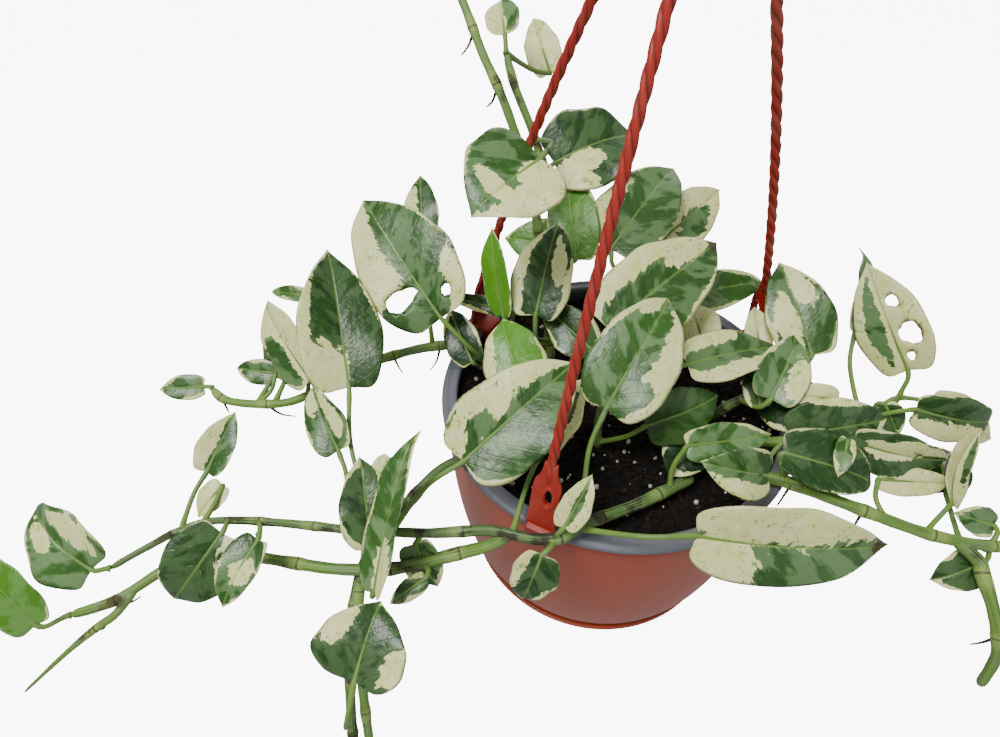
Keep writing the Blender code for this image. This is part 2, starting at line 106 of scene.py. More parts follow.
class Value:
    """A number socket that takes part in Python expressions."""

    def __init__(self, graph: "Graph", socket: bpy.types.NodeSocket) -> None:
        self.graph = graph
        self.socket = socket

    def maths(self, operation: str, *others: Any, clamp: bool = False) -> "Value":
        """A Math node on this value and others.

        Args:
            operation: the Math node's operation.
            others: the second and third numbers or values.
            clamp: keeps the result between 0 and 1.

        Returns:
            The node's result.
        """
        sockets = {0: self, **{i + 1: other for i, other in enumerate(others)}}
        made = self.graph.node("ShaderNodeMath", {"operation": operation, "use_clamp": clamp}, sockets)
        return Value(self.graph, made.outputs[0])

    def __add__(self, other: Any) -> "Value":
        """Sum."""
        return self.maths("ADD", other)

    __radd__ = __add__

    def __mul__(self, other: Any) -> "Value":
        """Product."""
        return self.maths("MULTIPLY", other)

    __rmul__ = __mul__

    def __sub__(self, other: Any) -> "Value":
        """Difference."""
        return self.maths("SUBTRACT", other)

    def __rsub__(self, other: Any) -> "Value":
        """Difference from a number."""
        return self.maths("MULTIPLY_ADD", -1.0, other)

    def __truediv__(self, other: Any) -> "Value":
        """Quotient."""
        return self.maths("DIVIDE", other)

    def size(self) -> "Value":
        """Absolute value."""
        return self.maths("ABSOLUTE")

    def above(self, edge: float, soft: float) -> "Value":
        """A mask that is 0 below edge and 1 above it.

        Args:
            edge: where the mask is one half.
            soft: how wide the change is.

        Returns:
            The mask, kept between 0 and 1.
        """
        return self.maths("MULTIPLY_ADD", 1.0 / soft, 0.5 - edge / soft, clamp=True)


class Graph:
    """Adds nodes to a tree and links them."""

    def __init__(self, tree: bpy.types.NodeTree) -> None:
        self.tree = tree

    def feed(self, socket: bpy.types.NodeSocket, value: Any) -> None:
        """Links an input, or sets it.

        Args:
            socket: the input.
            value: a value or an output to link, or a plain number, vector or colour.
        """
        source = value.socket if isinstance(value, Value) else value
        if isinstance(source, bpy.types.NodeSocket):
            self.tree.links.new(source, socket)
        elif socket.type == "RGBA":
            socket.default_value = (*source, 1.0)
        else:
            socket.default_value = source

    def node(self, kind: str, settings: dict[str, Any] | None = None,
             sockets: dict[Any, Any] | None = None) -> bpy.types.Node:
        """Adds one node.

        Args:
            kind: the node's type.
            settings: its properties.
            sockets: a value or a link for each input, by name or number.

        Returns:
            The node.
        """
        made = self.tree.nodes.new(kind)
        for key, value in (settings or {}).items():
            setattr(made, key, value)
        for key, value in (sockets or {}).items():
            self.feed(made.inputs[key], value)
        return made

    def value(self, kind: str, settings: dict[str, Any] | None = None,
              sockets: dict[Any, Any] | None = None, out: Any = 0) -> Value:
        """One output of a new node, as a value."""
        return Value(self, self.node(kind, settings, sockets).outputs[out])

    def named(self, name: str, out: str) -> Value:
        """An attribute that the mesh carries."""
        return self.value("ShaderNodeAttribute", {"attribute_name": name}, None, out)

    def noise(self, vector: Any, scale: float, detail: float = 2.0, warp: float = 0.0) -> Value:
        """Smooth noise, centred on 0.5."""
        sockets = {"Vector": vector, "Scale": scale, "Detail": detail, "Distortion": warp}
        return self.value("ShaderNodeTexNoise", None, sockets)

    def mix(self, factor: Any, first: Any, second: Any) -> bpy.types.NodeSocket:
        """A blend of two colours."""
        made = self.node("ShaderNodeMix", {"data_type": "RGBA"}, {0: factor, 6: first, 7: second})
        return made.outputs[2]

    def vector(self, x: Any, y: Any, z: Any) -> bpy.types.NodeSocket:
        """Three values as one vector."""
        return self.node("ShaderNodeCombineXYZ", None, {0: x, 1: y, 2: z}).outputs[0]

    def split(self, vector: Any) -> tuple[Value, Value, Value]:
        """A vector's three values."""
        made = self.node("ShaderNodeSeparateXYZ", None, {0: vector})
        return tuple(Value(self, socket) for socket in made.outputs)

    def stretch(self, vector: Any, scale: tuple[float, float, float]) -> bpy.types.NodeSocket:
        """A pattern's coordinates, scaled unevenly."""
        made = self.node("ShaderNodeVectorMath", {"operation": "MULTIPLY"}, {0: vector, 1: scale})
        return made.outputs[0]

    def bump(self, height: Value, depth: float) -> bpy.types.NodeSocket:
        """A surface relief of a depth in metres."""
        made = self.node("ShaderNodeBump", None, {"Strength": 1.0, "Distance": depth, "Height": height})
        return made.outputs[0]


class Material(Graph):
    """A material with one Principled shader, ready for its pattern."""

    def __init__(self, name: str) -> None:
        self.material = bpy.data.materials.new(name)
        self.material.use_nodes = True
        super().__init__(self.material.node_tree)
        self.shader = self.tree.nodes["Principled BSDF"]
        self.place = self.node("ShaderNodeTexCoord").outputs["Object"]

    def finish(self, **sockets: Any) -> bpy.types.Material:
        """Feeds the shader.

        Args:
            sockets: a value for each input, whose name has _ for each space.

        Returns:
            The material.
        """
        for key, value in sockets.items():
            self.feed(self.shader.inputs[key.replace("_", " ")], value)
        return self.material


# ---------------------------------------------------------------- finishes

@dataclass(frozen=True)
class Moulded:
    """Moulded plastic with faint streaks, scuffs and dust."""
    name: str
    colour: Colour
    worn: Colour
    roughness: float
    scuffs: float

    def make(self) -> bpy.types.Material:
        """Builds the material.

        Returns:
            The material.
        """
        m = Material(self.name)
        cloud = m.noise(m.place, 18.0, 3.0)
        streak = m.noise(m.stretch(m.place, (1.0, 1.0, 0.12)), 160.0, 3.0)
        fine = m.noise(m.place, 900.0, 2.0)
        scratch = m.noise(m.stretch(m.place, (1.0, 1.0, 9.0)), 70.0, 4.0, 1.5).above(0.68, 0.06)
        dust = (cloud * 0.7 + streak * 0.5).above(0.66, 0.5)
        tint = m.mix(dust * 0.45, self.colour, self.worn)
        tint = m.mix(scratch * self.scuffs, tint, self.worn)
        rough = self.roughness + dust * 0.12 + fine * 0.06 + scratch * (0.3 * self.scuffs)
        relief = fine * 0.5 + streak * 0.5 + cloud
        return m.finish(Base_Color=tint, Roughness=rough, Normal=m.bump(relief, 0.00012),
                        Specular_IOR_Level=0.45)


@dataclass(frozen=True)
class Rope:
    """The hangers' plastic, with painted shade darkening the twist's grooves so that the strands' backs stand
    out brighter.
    """
    colour: Colour
    # the colour of the painted shade in the twist's grooves
    groove: Colour
    roughness: float

    def make(self) -> bpy.types.Material:
        """Builds the material.

        Returns:
            The material.
        """
        m = Material("hanger_plastic")
        crest = m.named("crest", "Fac")
        cloud = m.noise(m.place, 60.0, 3.0)
        fine = m.noise(m.place, 1100.0, 2.0)
        # Painted shade: this mask darkens the twist's grooves, away from the strands' crests, towards the
        # groove colour; noise breaks up its edge.
        groove_shade = (crest * -1.0 + 1.0 + (cloud - 0.5) * 0.9).above(0.62, 0.5)
        tint = m.mix(groove_shade * 0.75, self.colour, self.groove)
        tint = m.mix(cloud.above(0.62, 0.25) * 0.22, tint, srgb(205, 120, 100))
        rough = self.roughness + groove_shade * 0.2 + fine * 0.08
        return m.finish(Base_Color=tint, Roughness=rough, Normal=m.bump(fine + cloud, 0.0001),
                        Specular_IOR_Level=0.5)


@dataclass(frozen=True)
class Stem:
    """Stem skin, with lengthwise lines, pale rings at the nodes and brown sheath scraps."""
    name: str
    fresh: Colour
    shaded: Colour
    ring: Colour
    bark: Colour
    barkiness: float

    def make(self) -> bpy.types.Material:
        """Builds the material.

        Returns:
            The material.
        """
        m = Material(self.name)
        round_x, round_y, _ = m.split(m.named("around", "Vector").socket)
        run = m.named("run", "Fac")
        collar = m.named("collar", "Fac")
        lines = m.noise(m.vector(round_x * 4.0, round_y * 4.0, run * 14.0), 1.4, 3.0)
        patch = m.noise(m.place, 70.0, 3.0)
        fine = m.noise(m.place, 700.0, 2.0)
        tint = m.mix(lines.above(0.52, 0.22), self.fresh, self.shaded)
        tint = m.mix(patch.above(0.56, 0.2) * 0.55, tint, srgb(105, 128, 92))
        tint = m.mix(collar.above(0.45, 0.4) * 0.8, tint, self.ring)
        scar = collar.above(0.86, 0.05) * 0.7
        bark = (patch + lines * 0.35 + collar * 0.1).above(0.86 - self.barkiness, 0.06)
        tint = m.mix(bark * 0.85, tint, self.bark)
        tint = m.mix(scar, tint, self.bark)
        relief = lines * 0.8 + fine * 0.3 + bark * 0.6
        return m.finish(Base_Color=tint, Roughness=0.44 + bark * 0.3 + fine * 0.1,
                        Normal=m.bump(relief, 0.0003), Specular_IOR_Level=0.4)


@dataclass(frozen=True)
class Blade:
    """Leaf blade: deep green, grey green and cream, parted along the side veins.

    The mesh carries leaf_place (mm along, mm across, seed), leaf_look (cream field, depth of
    green, scorch), leaf_under (1 on the underside) and leaf_glow (1 where back-light shining
    through the blade is painted into its green).
    """
    deep: Colour
    mid: Colour
    grey: Colour
    cream: Colour
    warm_cream: Colour
    pale: Colour
    # bright: the green painted where light would shine through the blade
    bright: Colour
    scorched: Colour

    def make(self) -> bpy.types.Material:
        """Builds the material.

        Returns:
            The material.
        """
        m = Material("leaf_blade")
        place = m.named("leaf_place", "Vector").socket
        look = m.named("leaf_look", "Vector").socket
        under = m.named("leaf_under", "Fac")
        glow = m.named("leaf_glow", "Fac")
        along, across, seed = m.split(place)
        field, depth, scorch = m.split(look)
        reach = across.size()
        vein = along - reach * VEIN_SLANT
        side = m.vector(vein * 0.26, reach * 0.15, seed + across.above(0.0, 0.01) * 7.0)
        drift = m.noise(side, 1.0, 3.0, 0.4) - 0.5
        ragged = m.noise(m.vector(vein * 0.6, reach * 0.34, seed), 1.0, 3.0) - 0.5
        speck = m.noise(m.vector(along, across, seed), 0.75, 2.0)
        mottled = m.noise(m.vector(vein * 0.25, reach * 0.12, seed + 3.0), 1.0, 2.0)

        edge = field + drift * 2.3 + ragged * 0.9
        cream = edge.above(0.0, 0.07)
        broad = m.noise(m.vector(vein * 0.12, reach * 0.09, seed + 11.0), 1.0, 2.0)
        veil = (broad + edge * 0.08).above(0.43, 0.09) * (1.05 - depth)
        green = m.mix(depth + (mottled - 0.5) * 1.1, self.mid, self.deep)
        green = m.mix(veil * 0.9, green, self.grey)
        dots = m.noise(m.vector(vein * 0.9, reach * 0.5, seed + 5.0), 1.1, 2.0)
        spots = (dots + edge * 0.05).above(0.665, 0.03)
        green = m.mix(spots * 0.7, green, self.grey)
        # Painted back-light: the glow mask turns the green bright, as if light shone through the blade.
        green = m.mix(glow, green, self.bright)
        light = m.mix(m.noise(m.vector(along, across, seed + 9.0), 0.22, 2.0).above(0.5, 0.4),
                      self.cream, self.warm_cream)
        flecks = (speck + (mottled - 0.5) * 0.7).above(0.68, 0.03)
        light = m.mix(flecks * 0.8, light, self.pale)
        tint = m.mix(cream, green, light)

        side_vein = (vein.maths("PINGPONG", VEIN_SPACING / 2) * -1.0 + 0.42).above(0.1, 0.45)
        midrib = (reach * -1.0 + 0.85).above(0.25, 0.5)
        tint = m.mix(side_vein * 0.05, tint, self.pale)
        tint = m.mix(midrib * 0.4, tint, self.pale)
        tint = m.mix(under * 0.25, tint, self.grey)
        burnt = (scorch + drift * 0.6).above(0.5, 0.12)
        tint = m.mix(burnt * 0.9, tint, self.scorched)

        quilt = side_vein * -0.14 + midrib * -0.6 + m.noise(place, 0.35, 3.0) * 1.2
        skin = m.noise(m.place, 1500.0, 2.0)
        rough = 0.28 + under * 0.2 + skin * 0.1 + cream * 0.06 + burnt * 0.2
        return m.finish(Base_Color=tint, Roughness=rough, Specular_IOR_Level=0.42,
                        Normal=m.bump(quilt + skin * 0.12, 0.00028))


@dataclass(frozen=True)
class Earth:
    """Loose dark matter: potting mix, perlite or dry fibres, by colour and grain."""
    name: str
    dark: Colour
    light: Colour
    grain: float
    relief: float

    def make(self) -> bpy.types.Material:
        """Builds the material.

        Returns:
            The material.
        """
        m = Material(self.name)
        clods = m.noise(m.place, self.grain, 4.0)
        dust = m.noise(m.place, self.grain * 6.0, 3.0)
        tint = m.mix((clods * 0.6 + dust * 0.4).above(0.53, 0.25), self.dark, self.light)
        return m.finish(Base_Color=tint, Roughness=0.82 + dust * 0.15,
                        Normal=m.bump(clods + dust * 0.5, self.relief), Specular_IOR_Level=0.25)


@dataclass(frozen=True)
class Plaster:
    """The pale floor, which glows a little so that it stays pale beneath the pot."""
    colour: Colour
    glow: float

    def make(self) -> bpy.types.Material:
        """Builds the material.

        Returns:
            The material.
        """
        m = Material("floor")
        tint = m.mix(m.noise(m.place, 3.0, 3.0), self.colour, tuple(c * 0.97 for c in self.colour))
        return m.finish(Base_Color=tint, Roughness=0.9, Specular_IOR_Level=0.1,
                        Emission_Color=tint, Emission_Strength=self.glow)


TERRACOTTA = Moulded("terracotta_plastic", srgb(160, 62, 31), srgb(156, 84, 60), 0.33, 0.35)
GREY = Moulded("grey_plastic", srgb(96, 98, 108), srgb(120, 122, 130), 0.4, 0.35)
# The hangers' second colour is the painted shade of the twist's grooves.
HANGER = Rope(srgb(156, 34, 18), srgb(72, 12, 8), 0.46)
YOUNG_STEM = Stem("stem_green", srgb(112, 146, 60), srgb(72, 108, 40), srgb(134, 160, 78),
                  srgb(52, 34, 26), 0.0)
OLD_STEM = Stem("stem_old", srgb(94, 122, 64), srgb(56, 80, 40), srgb(122, 148, 80),
                srgb(42, 28, 22), 0.1)
ROOT = Earth("root_skin", srgb(40, 26, 20), srgb(88, 60, 42), 400.0, 0.0002)
LEAF = Blade(srgb(13, 46, 11), srgb(50, 92, 28), srgb(104, 136, 88), srgb(224, 224, 168),
             srgb(206, 213, 128), srgb(118, 156, 66), srgb(84, 146, 14), srgb(64, 38, 22))
POTTING_MIX = Earth("potting_mix", srgb(7, 6, 5), srgb(26, 19, 15), 260.0, 0.0016)
PERLITE = Earth("perlite", srgb(150, 148, 132), srgb(226, 224, 208), 700.0, 0.0004)
FIBRE = Earth("fibre", srgb(22, 14, 10), srgb(62, 44, 28), 500.0, 0.0003)


# ---------------------------------------------------------------- mesh helpers

def placed(name: str, data: bpy.types.ID) -> bpy.types.Object:
    """A new object in the scene, at the origin.

    Args:
        name: its name.
        data: its mesh, curve, light or camera.

    Returns:
        The object.
    """
    made = bpy.data.objects.new(name, data)
    bpy.context.scene.collection.objects.link(made)
    return made


def carry(mesh: bpy.types.Mesh, name: str, rows: Points) -> None:
    """Puts an attribute on a mesh's points.

    Args:
        mesh: the mesh.
        name: the attribute's name.
        rows: one number for each point, or a row of three.
    """
    wide = rows.ndim == 2 and rows.shape[1] == 3
    attribute = mesh.attributes.new(name, "FLOAT_VECTOR" if wide else "FLOAT", "POINT")
    attribute.data.foreach_set("vector" if wide else "value", rows.astype(np.float32).ravel())


def band(first: int, second: int, count: int) -> list[list[int]]:
    """The faces between two rings of points.

    Args:
        first: the number of one ring's first point.
        second: the number of the next ring's first point.
        count: how many points a ring has.

    Returns:
        The faces, which turn the other way if the rings are exchanged.
    """
    return [[first + k, second + k, second + (k + 1) % count, first + (k + 1) % count] for k in range(count)]


class Skin:
    """Collects the vertices, faces and point attributes of one piece."""

    def __init__(self) -> None:
        self.points: list[Points] = []
        self.faces: list[list[int]] = []
        self.slots: list[int] = []
        self.kinds: dict[str, list[Points]] = {}
        self.count = 0

    def add(self, points: Points, faces: Iterable[Sequence[int]], slot: int = 0, **kinds: Points) -> None:
        """Adds a closed or open patch.

        Args:
            points: its vertices, one row each.
            faces: vertex numbers of each face, from 0 within the patch.
            slot: its material slot.
            kinds: an attribute's rows for each name, one number or three each.
        """
        faces = [[v + self.count for v in face] for face in faces]
        self.faces += faces
        self.slots += [slot] * len(faces)
        for name in set(kinds) | set(self.kinds):
            width = 3 if name in ("leaf_place", "leaf_look", "around") else 1
            rows = self.kinds.setdefault(name, [np.zeros((self.count, width))] if self.count else [])
            given = kinds.get(name)
            rows.append(np.zeros((len(points), width)) if given is None else np.reshape(given, (-1, width)))
        self.points.append(np.asarray(points, float))
        self.count += len(points)

    def build(self, name: str, materials: Sequence[bpy.types.Material]) -> bpy.types.Object:
        """Makes the object, smooth, with doubles merged.

        Args:
            name: its name.
            materials: its material slots.

        Returns:
            The object.
        """
        mesh = bpy.data.meshes.new(name)
        mesh.from_pydata(np.concatenate(self.points).tolist(), [], self.faces)
        for material in materials:
            mesh.materials.append(material)
        mesh.polygons.foreach_set("material_index", self.slots)
        for kind, rows in self.kinds.items():
            carry(mesh, kind, np.concatenate(rows))
        shape = bmesh.new()
        shape.from_mesh(mesh)
        bmesh.ops.remove_doubles(shape, verts=shape.verts, dist=0.000002)
        bmesh.ops.dissolve_degenerate(shape, edges=shape.edges, dist=0.000001)
        bmesh.ops.delete(shape, geom=[v for v in shape.verts if not v.link_faces], context="VERTS")
        shape.to_mesh(mesh)
        shape.free()
        mesh.shade_smooth()
        return placed(name, mesh)


def wear(piece: bpy.types.Object, *nodes: str, slot: str = "") -> None:
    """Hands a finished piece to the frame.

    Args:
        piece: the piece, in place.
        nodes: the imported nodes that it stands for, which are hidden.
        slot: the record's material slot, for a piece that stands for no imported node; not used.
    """
    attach(piece, BODY)
    if nodes:
        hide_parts(*nodes)
    LOG.info("%s: %d faces", piece.name, len(piece.data.polygons))


def unit(rows: Points) -> Points:
    """Rows at length one."""
    return rows / np.maximum(np.linalg.norm(rows, axis=-1, keepdims=True), 1e-12)


def spline(points: Sequence[Any], step: float) -> Points:
    """A smooth route through points, at an even step.

    Args:
        points: places along the route.
        step: distance between the made points, in metres.

    Returns:
        The made points, one row each, ends included.
    """
    knots = np.array([tuple(p) for p in points], float)
    padded = np.vstack([2 * knots[0] - knots[1], knots, 2 * knots[-1] - knots[-2]])
    fine = []
    for a, b, c, d in zip(padded, padded[1:], padded[2:], padded[3:]):
        for t in np.linspace(0.0, 1.0, 16, endpoint=False):
            fine.append(0.5 * (2 * b + (c - a) * t + (2 * a - 5 * b + 4 * c - d) * t * t
                               + (3 * b - a - 3 * c + d) * t ** 3))
    fine = np.array(fine + [knots[-1]])
    run = np.concatenate([[0.0], np.cumsum(np.linalg.norm(np.diff(fine, axis=0), axis=1))])
    marks = np.linspace(0.0, run[-1], max(3, int(run[-1] / step) + 1))
    return np.stack([np.interp(marks, run, fine[:, k]) for k in range(3)], axis=1)


def heading(turn: float, rise: float) -> Points:
    """A direction, by degrees round from the right and degrees above level."""
    a, b = math.radians(turn), math.radians(rise)
    return np.array((math.cos(a) * math.cos(b), math.sin(a) * math.cos(b), math.sin(b)))


def pipe(points: Points, radii: Points, sides: int) -> tuple[Points, list[list[int]]]:
    """A closed tube along points.

    Args:
        points: its middle line, one row each.
        radii: its radius at each point.
        sides: how many faces it has round it.

    Returns:
        The tube's vertices and faces.
    """
    run = unit(np.gradient(points, axis=0))
    normal = np.cross(run[0], (0.0, 0.0, 1.0) if abs(run[0][2]) < 0.9 else (1.0, 0.0, 0.0))
    rings = []
    for place, way, radius in zip(points, run, radii):
        normal = unit(normal - way * normal.dot(way))
        other = np.cross(way, normal)
        turn = np.linspace(0.0, 2 * np.pi, sides, endpoint=False)
        rings.append(place + radius * (np.outer(np.cos(turn), normal) + np.outer(np.sin(turn), other)))
    faces = []
    for i in range(len(points) - 1):
        for k in range(sides):
            j = (k + 1) % sides
            faces.append([i * sides + k, i * sides + j, (i + 1) * sides + j, (i + 1) * sides + k])
    faces.append(list(range(sides))[::-1])
    faces.append([(len(points) - 1) * sides + k for k in range(sides)])
    return np.vstack(rings), faces


def lathe(profile: Sequence[tuple[float, float]], steps: int) -> tuple[Points, list[list[int]]]:
    """A turned body from a profile that starts and ends on the axis or joins itself.

    Args:
        profile: (radius, height) in millimetres, down the outer side.
        steps: how many facets it has round it.

    Returns:
        Vertices in the frame's metres, and faces pointing outwards.
    """
    turn = np.linspace(0.0, 2 * np.pi, steps, endpoint=False)
    rows = np.array(profile) * MM
    points = np.stack([np.outer(rows[:, 0], np.cos(turn)), np.outer(rows[:, 0], np.sin(turn)),
                       np.outer(rows[:, 1], np.ones(steps))], axis=2) + np.array(RIM)
    faces = []
    for i in range(len(rows) if rows[0][0] > 0 else len(rows) - 1):
        faces += band(i * steps, (i + 1) % len(rows) * steps, steps)
    return points.reshape(-1, 3), faces


def merged(node: str) -> tuple[Points, list[set[int]], list[set[int]]]:
    """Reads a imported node's mesh with its doubles merged.

    Args:
        node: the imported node.

    Returns:
        Its vertices, each one's neighbours, and the corners of each flat face.
    """
    mesh = frame["nodes"][node].data
    numbers: dict[tuple[int, ...], int] = {}
    index, places = [], []
    for vertex in mesh.vertices:
        key = tuple(round(c * 1e6) for c in vertex.co)
        if key not in numbers:
            numbers[key] = len(places)
            places.append(tuple(vertex.co))
        index.append(numbers[key])
    near: list[set[int]] = [set() for _ in places]
    for edge in mesh.edges:
        a, b = index[edge.vertices[0]], index[edge.vertices[1]]
        if a != b:
            near[a].add(b)
            near[b].add(a)
    flats: dict[tuple[float, ...], set[int]] = {}
    for face in mesh.polygons:
        key = (*(round(c, 2) for c in face.normal), round(face.normal.dot(face.center), 4))
        flats.setdefault(key, set()).update(index[v] for v in face.vertices)
    return np.array(places), near, list(flats.values())


def levels(near: list[set[int]], start: Iterable[int]) -> list[list[int]]:
    """Sorts vertices by how many edges they are from the start.

    Args:
        near: each vertex's neighbours.
        start: the vertices to start from.

    Returns:
        The vertices at 0, 1, 2 and more edges.
    """
    seen = set(start)
    found = [sorted(seen)]
    while True:
        further = {b for a in found[-1] for b in near[a]} - seen
        if not further:
            return found
        seen |= further
        found.append(sorted(further))


# ---------------------------------------------------------------- geometry nodes

class Tree(Graph):
    """A geometry node tree with named inputs, ending in Realize Instances and Set Material."""

    def __init__(self, name: str, inputs: dict[str, str]) -> None:
        tree = bpy.data.node_groups.new(name, "GeometryNodeTree")
        tree.interface.new_socket("Geometry", in_out="OUTPUT", socket_type="NodeSocketGeometry")
        tree.interface.new_socket("Geometry", in_out="INPUT", socket_type="NodeSocketGeometry")
        for label, kind in inputs.items():
            tree.interface.new_socket(label, in_out="INPUT", socket_type=kind)
        super().__init__(tree)
        self.given = self.node("NodeGroupInput").outputs

    def close(self, geometry: bpy.types.NodeSocket) -> None:
        """Ends the tree.

        Args:
            geometry: what it has made.
        """
        real = self.node("GeometryNodeRealizeInstances", None, {0: geometry}).outputs[0]
        smooth = self.node("GeometryNodeSetShadeSmooth", None, {0: real}).outputs[0]
        dressed = self.node("GeometryNodeSetMaterial", None,
                            {"Geometry": smooth, "Material": self.given["Material"]}).outputs[0]
        self.node("NodeGroupOutput", None, {0: dressed})

    def run(self, source: bpy.types.Object, name: str, values: dict[str, Any]) -> bpy.types.Object:
        """Applies the tree to a source and returns the result as a plain mesh.

        Args:
            source: the object that the tree reads; it is removed.
            name: the new piece's name.
            values: the tree's inputs by name.

        Returns:
            The piece, at the origin.
        """
        modifier = source.modifiers.new(name, "NODES")
        modifier.node_group = self.tree
        for item in self.tree.interface.items_tree:
            if item.in_out == "INPUT" and item.name in values:
                modifier[item.identifier] = values[item.name]
        bpy.context.view_layer.update()
        graph = bpy.context.evaluated_depsgraph_get()
        mesh = bpy.data.meshes.new_from_object(source.evaluated_get(graph))
        mesh.name = name
        bpy.data.objects.remove(source, do_unlink=True)
        return placed(name, mesh)


class PathSkin(Tree):
    """Skins lines that carry girth and collar: stems, roots, hook wire and the twisted hangers."""

    def __init__(self) -> None:
        super().__init__("path_skin", {"Sides": "NodeSocketInt", "Lobe Depth": "NodeSocketFloat",
                                       "Pitch": "NodeSocketFloat", "Material": "NodeSocketMaterial"})
        girth = self.node("GeometryNodeInputNamedAttribute", {"data_type": "FLOAT"}, {"Name": "girth"})
        line = self.node("GeometryNodeMeshToCurve", None, {0: self.given["Geometry"]}).outputs[0]
        length = self.value("GeometryNodeSplineParameter", None, None, "Length")
        turns = length * (2 * math.pi) / Value(self, self.given["Pitch"])
        line = self.node("GeometryNodeSetCurveTilt", None, {"Curve": line, "Tilt": turns}).outputs[0]
        line = self.store(line, "run", "FLOAT", length)

        ring = self.node("GeometryNodeCurvePrimitiveCircle", {"mode": "RADIUS"},
                         {"Resolution": self.given["Sides"], "Radius": 1.0}).outputs[0]
        place = self.node("GeometryNodeInputPosition").outputs[0]
        x, y, _ = self.split(place)
        angle = y.maths("ARCTAN2", x)
        crest = (angle * 1.5).maths("COSINE").size()
        scale = 1.0 - (1.0 - crest) * Value(self, self.given["Lobe Depth"])
        ring = self.store(ring, "around", "FLOAT_VECTOR", place)
        ring = self.store(ring, "crest", "FLOAT", crest)
        shaped = self.vector(x * scale, y * scale, 0.0)
        ring = self.node("GeometryNodeSetPosition", None, {"Geometry": ring, "Position": shaped}).outputs[0]
        skin = self.node("GeometryNodeCurveToMesh", None,
                         {"Curve": line, "Profile Curve": ring, "Scale": girth.outputs["Attribute"],
                          "Fill Caps": True})
        self.close(skin.outputs[0])

    def store(self, geometry: Any, name: str, kind: str, value: Any) -> bpy.types.NodeSocket:
        """Keeps a value on each point of a curve."""
        made = self.node("GeometryNodeStoreNamedAttribute", {"data_type": kind, "domain": "POINT"},
                         {"Geometry": geometry, "Name": name, "Value": value})
        return made.outputs[0]

    def skin(self, name: str, strands: Sequence[tuple[Points, Points, Points]],
             material: bpy.types.Material, sides: int = 14, lobe: float = 0.0,
             pitch: float = 1e6) -> bpy.types.Object:
        """Skins strands as one piece.

        Args:
            name: the piece's name.
            strands: (points, girths, collars) of each.
            material: its finish.
            sides: faces round it.
            lobe: how deep the grooves of a three-strand twist are, as a share of the radius.
            pitch: length of one turn of the twist.

        Returns:
            The piece.
        """
        mesh = bpy.data.meshes.new(name + "_line")
        places = np.vstack([strand[0] for strand in strands])
        edges, start = [], 0
        for points, _, _ in strands:
            edges += [(start + i, start + i + 1) for i in range(len(points) - 1)]
            start += len(points)
        mesh.from_pydata(places.tolist(), edges, [])
        for label, column in (("girth", 1), ("collar", 2)):
            carry(mesh, label, np.concatenate([strand[column] for strand in strands]))
        return self.run(placed(name + "_line", mesh), name,
                        {"Sides": sides, "Lobe Depth": lobe, "Pitch": pitch, "Material": material})


class Scatter(Tree):
    """Strews copies of a crumb over a surface."""
    turn: float = 6.28

    def __init__(self) -> None:
        super().__init__("strew", {"Crumb": "NodeSocketObject", "Per Square Metre": "NodeSocketFloat",
                                   "Seed": "NodeSocketInt", "Smallest": "NodeSocketFloat",
                                   "Largest": "NodeSocketFloat", "Material": "NodeSocketMaterial"})
        given = self.given
        spread = self.node("GeometryNodeDistributePointsOnFaces", {"distribute_method": "RANDOM"},
                           {"Mesh": given["Geometry"], "Density": given["Per Square Metre"],
                            "Seed": given["Seed"]})
        crumb = self.node("GeometryNodeObjectInfo", None, {"Object": given["Crumb"]})
        turn = self.node("FunctionNodeRandomValue", {"data_type": "FLOAT_VECTOR"},
                         {0: (0.0, 0.0, 0.0), 1: (self.turn, self.turn, self.turn), "Seed": given["Seed"]})
        size = self.node("FunctionNodeRandomValue", {"data_type": "FLOAT"},
                         {2: given["Smallest"], 3: given["Largest"], "Seed": given["Seed"]})
        copies = self.node("GeometryNodeInstanceOnPoints", None,
                           {"Points": spread.outputs["Points"], "Instance": crumb.outputs["Geometry"],
                            "Rotation": turn.outputs[0], "Scale": size.outputs[1]})
        self.close(copies.outputs[0])

    def strew(self, name: str, ground: bpy.types.Object, crumb: bpy.types.Object, density: float,
              seed: int, sizes: tuple[float, float], material: bpy.types.Material) -> bpy.types.Object:
        """Covers a copy of the ground with crumbs.

        Args:
            name: the piece's name.
            ground: the surface, which is left as it is.
            crumb: what is strewn; it is removed.
            density: how many there are for each square metre.
            seed: fixes where they lie.
            sizes: the smallest and the largest, in metres.
            material: their finish.

        Returns:
            The crumbs, as one piece.
        """
        piece = self.run(placed(name + "_ground", ground.data.copy()), name,
                         {"Crumb": crumb, "Per Square Metre": density, "Seed": seed,
                          "Smallest": sizes[0], "Largest": sizes[1], "Material": material})
        bpy.data.objects.remove(crumb, do_unlink=True)
        return piece


# ---------------------------------------------------------------- pot and soil

